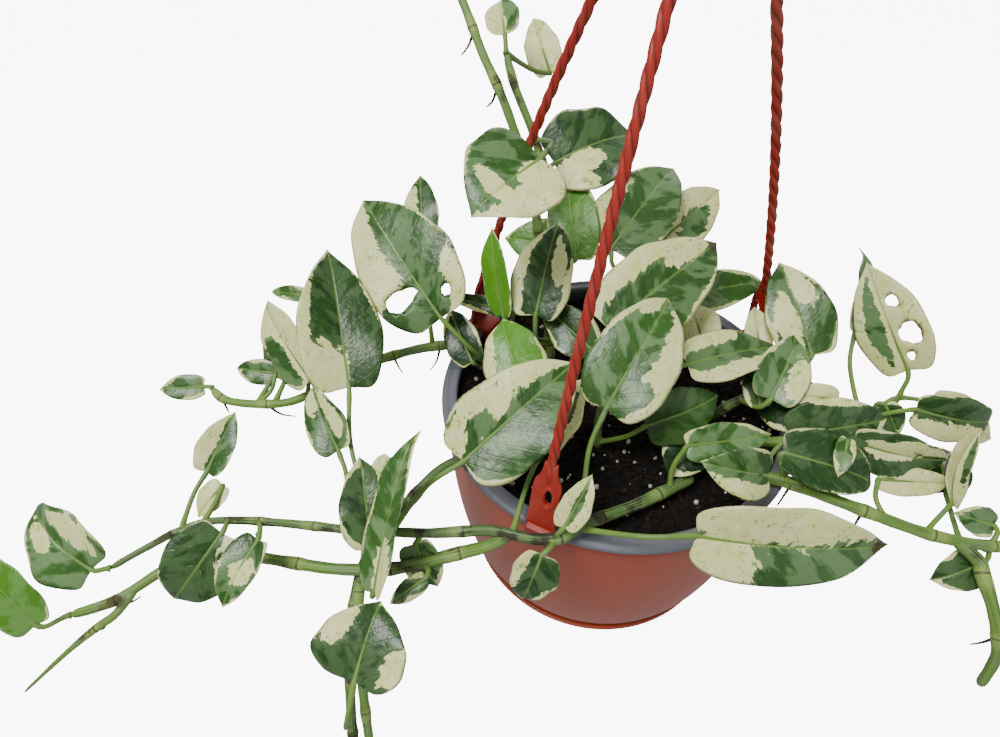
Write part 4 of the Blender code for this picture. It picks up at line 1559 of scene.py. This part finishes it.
@dataclass
class Leaves:
    """Every leaf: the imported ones, made fine, and the small ones that only the looks have.

    Lengths are in metres, but stalk_bend is in millimetres.
    """
    routes: dict[str, Points]
    rows: int = 42
    columns: int = 28
    rings: int = 12
    ring_sides: int = 6
    stations: tuple = (0.92, 0.79, 0.63, 0.46, 0.30, 0.15, 0.05)
    widest: int = 4
    share_below: float = 0.34
    share_above: float = 0.66
    open_face: tuple = (-0.05, -0.66, 0.75)
    small_droop: float = 0.06
    small_fold: float = 0.19
    stalk_bend: float = 3.0
    stalk_step: float = 0.0016
    stalk_sides: int = 9
    stalk_radius: float = 0.00125
    reach_to_stem: float = 0.014
    full_width: float = 0.4304
    twist: float = 0.5
    tip_curl: float = 0.3
    tip_point: float = 0.55
    thickness: float = 0.00034
    soft_fold: float = 0.0012
    quilting: float = 0.00004
    groove: float = 0.0004
    groove_width: float = 0.0009

    def __post_init__(self) -> None:
        self.stems = np.vstack(list(self.routes.values()))
        self.leaf_finish = LEAF.make()
        self.stalk_finish = YOUNG_STEM.make()

    def seat(self, node: str) -> Seat:
        """Reads a packed leaf's own shape.

        Args:
            node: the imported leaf.

        Returns:
            Its seat.
        """
        points, near, _ = merged(node)
        wanted = [1] + [self.ring_sides] * self.rings
        for start in range(len(points)):
            found = levels(near, [start])
            if [len(level) for level in found] == wanted:
                break
        else:
            raise ValueError(f"{node} isn't made of rings")
        rings = [points[level] for level in found]
        middles, lifts, sides, reaches = [], [], [], []
        for ring in rings[1:len(self.stations) + 1]:
            gaps = np.linalg.norm(ring[:, None] - ring[None], axis=2)
            a, b = np.unravel_index(np.argmax(gaps), gaps.shape)
            inner = np.delete(ring, (a, b), axis=0).mean(axis=0)
            rise = (ring[a] + ring[b]) / 2 - inner
            middles.append(inner - rise * self.share_below / self.share_above)
            lifts.append(rise / self.share_above)
            across = ring[b] - ring[a]
            sides.append(across if not sides or across.dot(sides[0]) > 0 else -across)
            reaches.append(gaps[a, b] / 2)
        t = np.array((1.0,) + self.stations)
        basis = np.stack([1 - t, t, 4 * t * (1 - t)], axis=1)
        base, end, bow = np.linalg.lstsq(basis, np.vstack([rings[0][0], middles]), rcond=None)[0]
        side = unit(np.sum([unit(s) for s in sides], axis=0))
        up = np.cross(side, unit(end - base))
        if up.dot(np.sum(lifts, axis=0)) < 0:
            side = -side
        k = self.widest
        fold = math.atan2(np.linalg.norm(lifts[k]), reaches[k])
        stalk = [ring.mean(axis=0) for ring in rings[len(self.stations) + 1:]][::-1]
        return Seat(base, end, bow, side, 2 * reaches[k], fold, np.array(stalk + [base]))

    def sprout(self, route: Points, share: float, stalk: tuple, blade: tuple) -> Seat:
        """The seat of a small leaf that isn't a packed one.

        Args:
            route: its stem's fine line, from the pot outwards.
            share: how far along the stem it grows, 0 to 1.
            stalk: the stalk's heading, rise and length.
            blade: the blade's heading, rise, length and width.

        Returns:
            Its seat.
        """
        start = route[int(share * (len(route) - 1))]
        base = start + heading(*stalk[:2]) * stalk[2] * MM
        axis = heading(*blade[:2])
        tip = base + axis * blade[2] * MM
        open_face = np.array(self.open_face)
        face = unit(open_face - axis * axis.dot(open_face))
        droop = face * self.small_droop * blade[2] * MM
        line = [start, (start + base) / 2 - axis * self.stalk_bend * MM, base]
        return Seat(base, tip, droop, np.cross(axis, face), blade[3] * MM, self.small_fold,
                    spline(line, 0.003))

    def cells(self, gone: Points, rim: Points) -> list[list[int]]:
        """The faces of a blade's upper side.

        A cell is cut in two where its diagonal could join two points of the rim, because the
        blade's two sides meet there and would share the diagonal.

        Args:
            gone: which cells are torn away.
            rim: at which grid points the blade's two sides meet.

        Returns:
            The faces, as grid point numbers.
        """
        faces, across = [], self.columns + 1
        for i, k in np.argwhere(~gone):
            a = i * across + k
            b, c, d = a + 1, a + across + 1, a + across
            if rim[a] and rim[c]:
                faces += [[a, b, d], [b, c, d]]
            elif rim[b] and rim[d]:
                faces += [[a, b, c], [a, c, d]]
            else:
                faces.append([a, b, c, d])
        return faces

    def form(self, seat: Seat, look: Look, rng: np.random.Generator) -> Form:
        """Shapes a blade: a heart's outline, laid along the midrib, twisted, folded and waved.

        Args:
            seat: where it is.
            look: its holes.
            rng: draws its small differences.

        Returns:
            Its grid in space.
        """
        length = float(np.linalg.norm(seat.tip - seat.base))
        x = np.linspace(0.0, 1.0, self.rows + 1)
        y = np.linspace(-1.0, 1.0, self.columns + 1)
        s = (x - np.sin(2 * np.pi * x) / (2 * np.pi) * 0.55)[:, None] * np.ones((1, self.columns + 1))
        q = (np.sign(y) * np.abs(y) ** 1.15)[None, :] * np.ones((self.rows + 1, 1))
        s, q, gone = look.tear(s, q)
        to_tip = np.clip(1 - s, 0, 1)
        lean = 1 + rng.uniform(-0.06, 0.06) * np.sign(q)
        ripple = np.sin(s * rng.uniform(14, 22) + rng.uniform(0, 6) + np.sign(q))
        ripple = 1 + 0.022 * ripple * np.clip(s * 8, 0, 1)
        half = seat.width / 2 * (s ** 0.45) * to_tip ** 0.86 / self.full_width * lean * ripple
        half = half * (1 - self.tip_point * np.exp(-(to_tip / 0.09) ** 1.4))
        back = (s / 0.07) * np.exp(1 - s / 0.07)
        t = s - rng.uniform(0.05, 0.085) * np.abs(q) ** 1.8 * back
        run = seat.run(t)
        flat = unit(np.cross(seat.side, run))
        twist = (rng.uniform(-self.twist, self.twist) * (s - 0.3))[..., None]
        side = unit(seat.side * np.cos(twist) + flat * np.sin(twist))
        up = unit(np.cross(side, run))
        lateral = q * half
        lift = self.lift(seat, s, q, half, length, rng)
        sheet = seat.midrib(t) + side * lateral[..., None] + up * lift[..., None]
        normal = np.cross(np.gradient(sheet, axis=1), np.gradient(sheet, axis=0))
        pinched = np.linalg.norm(normal, axis=2, keepdims=True) < 1e-12
        normal = unit(np.where(pinched, up, normal))
        thick = self.thickness * (1 - np.abs(q) ** 6) * np.clip(s * 30, 0, 1) * np.clip((1 - s) * 30, 0, 1)
        thick = thick[..., None]
        for i, k in np.argwhere(gone):
            thick[i:i + 2, k:k + 2] = 0.0
        return Form(s, q, gone, half, lateral, sheet, normal, thick, length)

    def lift(self, seat: Seat, s: Points, q: Points, half: Points, length: float,
             rng: np.random.Generator) -> Points:
        """Raises a blade's points: fold, crown, margin waves, drooping tip, quilting and groove.

        Args:
            seat: where the blade is.
            s: how far along it each point is, 0 to 1.
            q: how far across it is, -1 to 1.
            half: half the width there.
            length: the blade's length.
            rng: draws its waves and droop.

        Returns:
            The height of each point above the midrib.
        """
        size, reach = np.abs(q * half), seat.width / 2
        lift = (np.sqrt(size ** 2 + self.soft_fold ** 2) - self.soft_fold) * math.tan(seat.fold) * 1.15
        lift -= 0.10 * size ** 2 / reach
        wave = rng.uniform(0.045, 0.09) * reach * np.sin(s * rng.uniform(9, 14) + rng.uniform(0, 6)
                                                         + np.sign(q) * rng.uniform(0.3, 1.5))
        lift += wave * np.abs(q) ** 2 * (half / reach)
        lift -= self.tip_curl * length * np.clip(s - 0.75, 0, 1) ** 2 * rng.uniform(0.0, 4.0)
        vein = (s * length - size * VEIN_SLANT) / (VEIN_SPACING * MM)
        quilt = self.quilting * np.cos(vein * 2 * np.pi) * np.clip(size / 0.004, 0, 1)
        lift += quilt * (1 - np.abs(q) ** 3)
        lift -= self.groove * np.exp(-(size / self.groove_width) ** 2) * (1 - s)
        return lift

    def blade(self, skin: Skin, form: Form, look: Look, seed: int) -> None:
        """Adds a blade's two sides, with what its finish reads.

        Args:
            skin: the leaf's skin.
            form: the blade's grid.
            look: its colouring.
            seed: fixes its pattern.
        """
        s = form.s
        burn = np.full(s.shape, -1.0)
        if look.scorch:
            burn = look.scorch * np.clip(1.6 * (s - 0.86) / 0.14, -1, 1)
        places = np.stack([s * form.length / MM, form.lateral / MM, np.full(s.shape, seed * 1.7)], axis=2)
        field = look.field(s, form.q, form.half, form.length, seed)
        looks = np.stack([field, np.full(s.shape, look.tone.value), burn], axis=2)
        upper = self.cells(form.gone, form.thick.ravel() == 0)
        for sign, faces in ((1, upper), (-1, [face[::-1] for face in upper])):
            skin.add((form.sheet + form.normal * form.thick * sign).reshape(-1, 3), faces,
                     leaf_place=places, leaf_look=looks, leaf_under=np.full(s.size, float(sign < 0)),
                     leaf_glow=np.full(s.size, look.glow))

    def petiole(self, seat: Seat) -> tuple[Points, Points]:
        """Draws a leaf's stalk, from its stem and on below the blade as the midrib.

        Args:
            seat: where the leaf is.

        Returns:
            The stalk's middle line, and its radius at each point.
        """
        gaps = np.linalg.norm(self.stems - seat.petiole[0], axis=1)
        joint = self.stems[np.argmin(gaps)]
        bend = seat.petiole[[0, len(seat.petiole) // 2, -1]]
        onward = (bend[0] - joint).dot(bend[1] - bend[0]) > 0
        joins = onward and 0.001 < gaps.min() < self.reach_to_stem
        stalk = spline([joint, *bend] if joins else bend, self.stalk_step)
        marks = np.linspace(0.0, 1.0, len(stalk))
        girth = self.stalk_radius + 0.0008 * np.exp(-marks * 9)
        girth = girth + 0.00025 * np.exp(-((marks - 0.93) / 0.05) ** 2)
        ribs = np.linspace(0.03, 0.9, 16)
        under = seat.midrib(ribs) - unit(np.cross(seat.side, seat.run(ribs))) * 0.0007
        return np.vstack([stalk, under]), np.concatenate([girth, 0.0011 * (1 - ribs) + 0.00025])

    def grow(self, name: str, seat: Seat, look: Look, seed: int, *nodes: str) -> None:
        """Makes one leaf, blade and petiole in one piece.

        Args:
            name: the piece's name.
            seat: where it is.
            look: its colouring.
            seed: fixes its small differences.
            nodes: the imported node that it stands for.
        """
        skin = Skin()
        self.blade(skin, self.form(seat, look, np.random.default_rng(seed)), look, seed)
        line, girth = self.petiole(seat)
        points, faces = pipe(line, girth, self.stalk_sides)
        skin.add(points, faces, 1, run=np.repeat(np.arange(len(line)) * self.stalk_step, self.stalk_sides))
        dark = look.tone in (Tone.DARK, Tone.BLACK)
        slot = "leaf_cream" if look.cream else "leaf_green" if dark else "leaf_mixed"
        wear(skin.build(name, [self.leaf_finish, self.stalk_finish]), *nodes, slot=slot)


C, G = True, False
LOOKS = {
    "crown_heart": Look(Tone.MID, False, 1.2, ((0.45, -0.7, 0.5, 0.45, C), (0.62, 0.1, 0.1, 0.6, C),
                                               (0.2, -0.2, 0.2, 0.3, C))),
    "crown_dark": Look(Tone.DARK, False, 1.2, ((0.25, 0.3, 0.22, 0.28, C), (0.1, 0.8, 0.2, 0.5, C))),
    "back_scorched": Look(Tone.MID, False, 1.0, ((0.3, -0.8, 0.3, 0.3, C),)),
    "back_cream": Look(Tone.MID, True, 0.0, ((0.4, 0.3, 0.25, 0.5, G),)),
    "centre_torn_tip": Look(Tone.MID, False, 2.0, ((0.35, -0.85, 0.45, 0.35, C),
                                                   (0.75, -0.4, 0.2, 0.4, C)), 1.0),
    "centre_upright": Look(Tone.DARK, False, 3.0, ((0.55, 0.5, 0.25, 0.28, C), (0.4, -0.9, 0.5, 0.3, C))),
    "centre_edge_on": Look(Tone.MID, False, 0.5, (), 0.0, 0.8),
    "inner_bright": Look(Tone.PALE, False, 1.5, ((0.4, -0.95, 0.5, 0.4, C),), 0.0, 0.75),
    "front_large": Look(Tone.MID, False, 2.0, ((0.3, -0.55, 0.28, 0.4, C), (0.72, -0.75, 0.3, 0.4, C),
                                               (0.22, -0.3, 0.12, 0.25, G), (0.05, -0.6, 0.1, 0.4, C))),
    "front_twisted": Look(Tone.DARK, True, 0.0, ((0.5, 0.2, 0.25, 0.4, G),)),
    "centre_large": Look(Tone.PALE, False, 2.2, ((0.5, 0.95, 0.5, 0.45, C), (0.35, 0.7, 0.14, 0.35, C),
                                                 (0.85, -0.6, 0.15, 0.4, C), (0.18, 0.5, 0.12, 0.3, G))),
    "centre_glossy": Look(Tone.DARK, False, 0.0, (), 0.0, 0.1),
    "centre_pointed": Look(Tone.MID, False, 1.0, ((0.4, 0.8, 0.5, 0.4, C), (0.25, -0.8, 0.3, 0.4, C))),
    "right_folded": Look(Tone.PALE, False, 1.5, ((0.4, 0.6, 0.3, 0.4, C),)),
    "right_tall": Look(Tone.MID, False, 2.0, ((0.35, -0.4, 0.3, 0.35, C), (0.7, 0.4, 0.25, 0.4, C))),
    "right_speckled": Look(Tone.MID, False, 0.8, ((0.4, -0.7, 0.4, 0.35, C),)),
    "right_dark": Look(Tone.DARK, False, 0.7),
    "right_largest": Look(Tone.MID, False, 0.5, ((0.42, -0.85, 0.5, 0.85, C),
                                                 (0.15, 0.5, 0.16, 0.9, C)), 0.9),
    "right_long": Look(Tone.DARK, False, 1.0, ((0.3, -0.1, 0.28, 0.4, C), (0.65, -0.6, 0.3, 0.3, C))),
    "lip_upper": Look(Tone.MID, True, 0.0, ((0.5, 0.1, 0.45, 0.3, G),)),
    "lip_lower": Look(Tone.DARK, False, 1.6, ((0.3, 0.9, 0.4, 0.4, C),)),
    "left_largest": Look(Tone.MID, False, 1.2, ((0.4, -0.75, 0.3, 0.5, C), (0.75, -0.7, 0.25, 0.45, C),
                                                (0.15, 0.9, 0.2, 0.35, C), (0.15, -0.7, 0.12, 0.5, G)),
                         holes=((0.24, -0.47, 0.055, 0.36), (0.13, 0.5, 0.035, 0.12))),
    "left_dark": Look(Tone.DARK, False, 1.2, ((0.12, -0.5, 0.2, 0.6, C), (0.45, -0.95, 0.3, 0.25, C))),
    "left_cream": Look(Tone.MID, True, 0.0, ((0.35, -0.6, 0.3, 0.4, G),)),
    "left_far": Look(Tone.DARK, False, 0.6, ((0.4, -0.6, 0.45, 0.4, C),)),
    "left_hanging": Look(Tone.MID, False, 1.2, ((0.5, 0.5, 0.4, 0.3, C), (0.8, -0.4, 0.25, 0.5, C))),
    "left_narrow": Look(Tone.MID, False, 0.8, ((0.45, -0.7, 0.6, 0.55, C),)),
    "left_twin": Look(Tone.MID, False, 1.0, ((0.45, -0.2, 0.2, 0.6, C),)),
    "left_round": Look(Tone.DARK, False, 0.8, ((0.15, -0.6, 0.2, 0.4, C),),
                       holes=((0.2, -0.5, 0.06, 0.22),)),
    "far_left_end": Look(Tone.PALE, False, 1.0, ((0.4, 0.6, 0.3, 0.3, C), (0.65, -0.3, 0.2, 0.3, C))),
    "far_left_long": Look(Tone.PALE, False, 0.6, (), 0.0, 0.5),
    "drop_rounded": Look(Tone.DARK, False, 2.2),
    "drop_narrow": Look(Tone.PALE, False, 1.2, ((0.15, 0.3, 0.2, 0.6, C),)),
    "drop_broad": Look(Tone.DARK, False, 2.2, ((0.3, 0.8, 0.2, 0.3, C), (0.6, -0.75, 0.25, 0.3, C))),
    "top_young": Look(Tone.PALE, True, 0.0, ((0.5, 0.6, 0.5, 0.5, G),)),
    "far_right_narrow": Look(Tone.PALE, False, 1.0),
    "far_right_cream": Look(Tone.MID, True, 0.0, ((0.5, -0.4, 0.4, 0.25, G),),
                            holes=((0.62, 0.35, 0.05, 0.2), (0.32, 0.45, 0.09, 0.28),
                                   (0.13, 0.3, 0.035, 0.12))),
    "far_right_arched": Look(Tone.DARK, False, 0.8, ((0.4, 0.7, 0.4, 0.5, C),)),
    "far_right_curved": Look(Tone.MID, True, 0.0, ((0.6, 0.6, 0.3, 0.3, G),)),
    "far_right_upright": Look(Tone.DARK, False, 0.6),
}

# Small leaves, each on a stem: how far along it, then the stalk's heading, rise and length, then
# the blade's heading, rise, length and width. Headings are degrees from the right, towards the back.
SPROUTS = {
    "back_lit_left": ("vine_back_rising", 0.25, (70, 5, 35), (180, 0, 45, 30), Look(Tone.PALE, glow=0.5)),
    "back_lit_high": ("vine_back_rising", 0.30, (30, 0, 20), (110, 30, 60, 30), Look(Tone.PALE, glow=0.55)),
    "inner_dark": ("vine_upper_left", 0.10, (250, 45, 25), (130, 25, 35, 20), Look(Tone.BLACK)),
    "inner_sliver": ("vine_upper_left", 0.10, (60, 60, 35), (175, 0, 45, 10), Look(Tone.DARK)),
    "shaded_middle": ("stem_crown_centre", 0.60, (10, 0, 35), (120, 20, 25, 25), Look(Tone.MID, True)),
    "grey_pointed": ("stem_crown_centre", 0.85, (270, 30, 10), (30, 0, 75, 25), Look(Tone.PALE)),
    "cream_middle": ("stem_crown_right", 0.90, (120, 20, 20), (105, 25, 30, 15), Look(Tone.PALE, True)),
    "dark_middle": ("stem_crown_right", 0.60, (290, 30, 15), (110, 30, 25, 15), Look(Tone.DARK)),
    "grey_low": ("vine_front_old", 0.05, (75, 60, 25), (25, 0, 45, 20), Look(Tone.PALE)),
    "curled_right": ("vine_right_upper", 0.40, (60, 70, 25), (185, 0, 25, 15), Look(Tone.MID, True)),
    "young_right": ("vine_right", 0.30, (80, 45, 30), (260, -25, 20, 10), Look(Tone.PALE)),
    "soil_shade": ("vine_front_old", 0.03, (80, 30, 25), (245, -20, 25, 25), Look(Tone.BLACK, margin=2.0)),
    "right_flag": ("vine_right", 0.50, (100, 15, 20), (15, -5, 40, 15), Look(Tone.PALE, True)),
    "left_shade": ("vine_upper_left", 0.70, (120, 20, 15), (155, 0, 40, 25), Look(Tone.DARK)),
    "left_curl": ("vine_upper_left", 0.85, (80, 20, 20), (185, 0, 25, 15), Look(Tone.MID)),
    "left_thin": ("vine_upper_left", 0.85, (90, 15, 75), (175, -10, 30, 10), Look(Tone.PALE)),
    "left_thin_upper": ("vine_upper_left", 0.80, (90, 15, 65), (90, 5, 30, 10), Look(Tone.MID)),
    "left_tail": ("vine_front_old", 0.60, (80, 10, 40), (255, -30, 30, 15), Look(Tone.MID, True)),
    "left_tail_far": ("vine_front_old", 0.85, (90, 10, 20), (245, -25, 20, 15), Look(Tone.MID, True)),
    "left_rolled": ("vine_upper_left", 1.00, (190, 10, 5), (200, 0, 25, 15), Look(Tone.PALE)),
    "drop_speckled": ("vine_front_old", 0.45, (210, -15, 15), (325, -50, 25, 20), Look(Tone.MID, margin=2.0)),
    "drop_small": ("vine_front_lower", 0.20, (300, 20, 10), (225, -20, 20, 10), Look(Tone.MID)),
    "top_flag": ("vine_back_second", 1.00, (60, -30, 40), (125, 35, 35, 20), Look(Tone.PALE, True)),
    "right_pointed": ("vine_right_upper", 0.80, (0, 70, 10), (320, -45, 20, 15), Look(Tone.DARK)),
    "right_pale": ("vine_right_upper", 1.00, (0, 0, 15), (0, -25, 45, 25), Look(Tone.PALE, True)),
    "right_shaded": ("vine_right", 0.75, (90, -5, 30), (105, 25, 25, 25), Look(Tone.BLACK)),
    "right_under": ("vine_right", 0.85, (270, -60, 10), (205, -25, 25, 20), Look(Tone.DARK)),
    "shade_left": ("stem_crown_centre", 0.35, (160, 35, 20), (150, 15, 35, 25), Look(Tone.DARK)),
    "shade_back": ("stem_crown_centre", 0.75, (90, 20, 15), (80, 20, 45, 30), Look(Tone.DARK, margin=2.5)),
    "shade_right": ("stem_crown_right", 0.45, (20, 30, 15), (330, 5, 45, 30), Look(Tone.BLACK, margin=2.0)),
    "shade_low": ("vine_right", 0.08, (60, 45, 25), (20, 10, 50, 30), Look(Tone.DARK, margin=3.0)),
    "right_under_small": ("vine_right", 0.85, (90, 45, 10), (180, 10, 20, 15), Look(Tone.MID)),
}


# ---------------------------------------------------------------- room, lights and camera

@dataclass
class Studio:
    """Pale floor, soft lights and the camera above the pot, looking down into it.

    The camera's places are millimetres from the middle of the rim. A light is its name, its place
    from the rim, side, watts and tint, and all the rest is in metres.
    """
    floor_drop: float = 0.95
    floor_size: float = 40.0
    floor_colour: Colour = (0.93, 0.93, 0.93)
    floor_glow: float = 9.0
    sky: float = 0.5
    eye: tuple = (0.0, -253.5, 281.6)
    aim: tuple = (-68.8, -0.9, 0.0)
    lens: float = 23.4
    nearest: float = 0.01
    lights: tuple = (("key", (-0.5, -0.6, 1.5), 0.6, 31.0, (1.0, 0.985, 0.96)),
                     ("fill", (1.3, -1.1, 0.5), 1.2, 4.0, (0.95, 0.98, 1.0)),
                     ("back", (-0.3, 1.5, 0.9), 1.2, 8.0, (1.0, 1.0, 0.97)))

    def area(self, name: str, place: Vector, target: Vector, size: float, power: float, tint: Colour) -> None:
        """Hangs a soft square light.

        Args:
            name: its name.
            place: where it is.
            target: what it points at.
            size: its side.
            power: its watts.
            tint: its colour.
        """
        data = bpy.data.lights.new(name, "AREA")
        data.size = size
        data.energy = power
        data.color = tint
        lamp = placed(name, data)
        lamp.location = place
        lamp.rotation_euler = (target - place).to_track_quat("-Z", "Y").to_euler()

    def build(self) -> None:
        """Makes the floor, world, lights and camera."""
        skin = Skin()
        half, level = self.floor_size / 2, -self.floor_drop
        corners = [(-half, -half, level), (half, -half, level), (half, half, level), (-half, half, level)]
        skin.add(np.array(corners), [[0, 1, 2, 3]])
        floor = skin.build("floor", [Plaster(self.floor_colour, self.floor_glow).make()])
        floor.visible_diffuse = False
        floor.visible_glossy = False

        world = bpy.data.worlds.new("studio")
        world.use_nodes = True
        world.node_tree.nodes["Background"].inputs["Color"].default_value = (1.0, 1.0, 1.0, 1.0)
        world.node_tree.nodes["Background"].inputs["Strength"].default_value = self.sky
        bpy.context.scene.world = world
        middle = at(0.0, 0.0, 20.0)
        for name, place, size, power, tint in self.lights:
            self.area(name, middle + Vector(place), middle, size, power, tint)
        self.camera()

    def camera(self) -> None:
        """Sets the camera level at its eye point, looking at its aim."""
        eye, aim = at(*self.eye), at(*self.aim)
        look = (aim - eye).normalized()
        right = look.cross(Vector((0.0, 0.0, 1.0))).normalized()
        turn = Matrix((right, right.cross(look), -look)).transposed()
        data = bpy.data.cameras.new("camera")
        data.lens = self.lens
        data.clip_start = self.nearest
        camera = placed("camera", data)
        camera.matrix_world = Matrix.Translation(eye) @ turn.to_4x4()
        bpy.context.scene.camera = camera


def main() -> None:
    """Builds the object in order."""
    logging.basicConfig(level=logging.INFO, format="%(name)s %(message)s")
    Studio().build()
    paths = PathSkin()
    Pot().build()
    Soil().build(paths)
    Hangers().build(paths)
    routes = Vines().build(paths)
    leaves = Leaves(routes)
    packed = sorted(n for n in frame["nodes"] if n.startswith("leaf_"))
    for number, node in enumerate(packed):
        look = LOOKS[node.removeprefix("leaf_")]
        leaves.grow(node + "_fine", leaves.seat(node), look, number + 1, node)
    for number, (name, (vine, share, stalk, blade, look)) in enumerate(SPROUTS.items()):
        seat = leaves.sprout(routes[vine], share, stalk, blade)
        leaves.grow("small_" + name, seat, look, 200 + number)


if __name__ == "__main__":
    main()
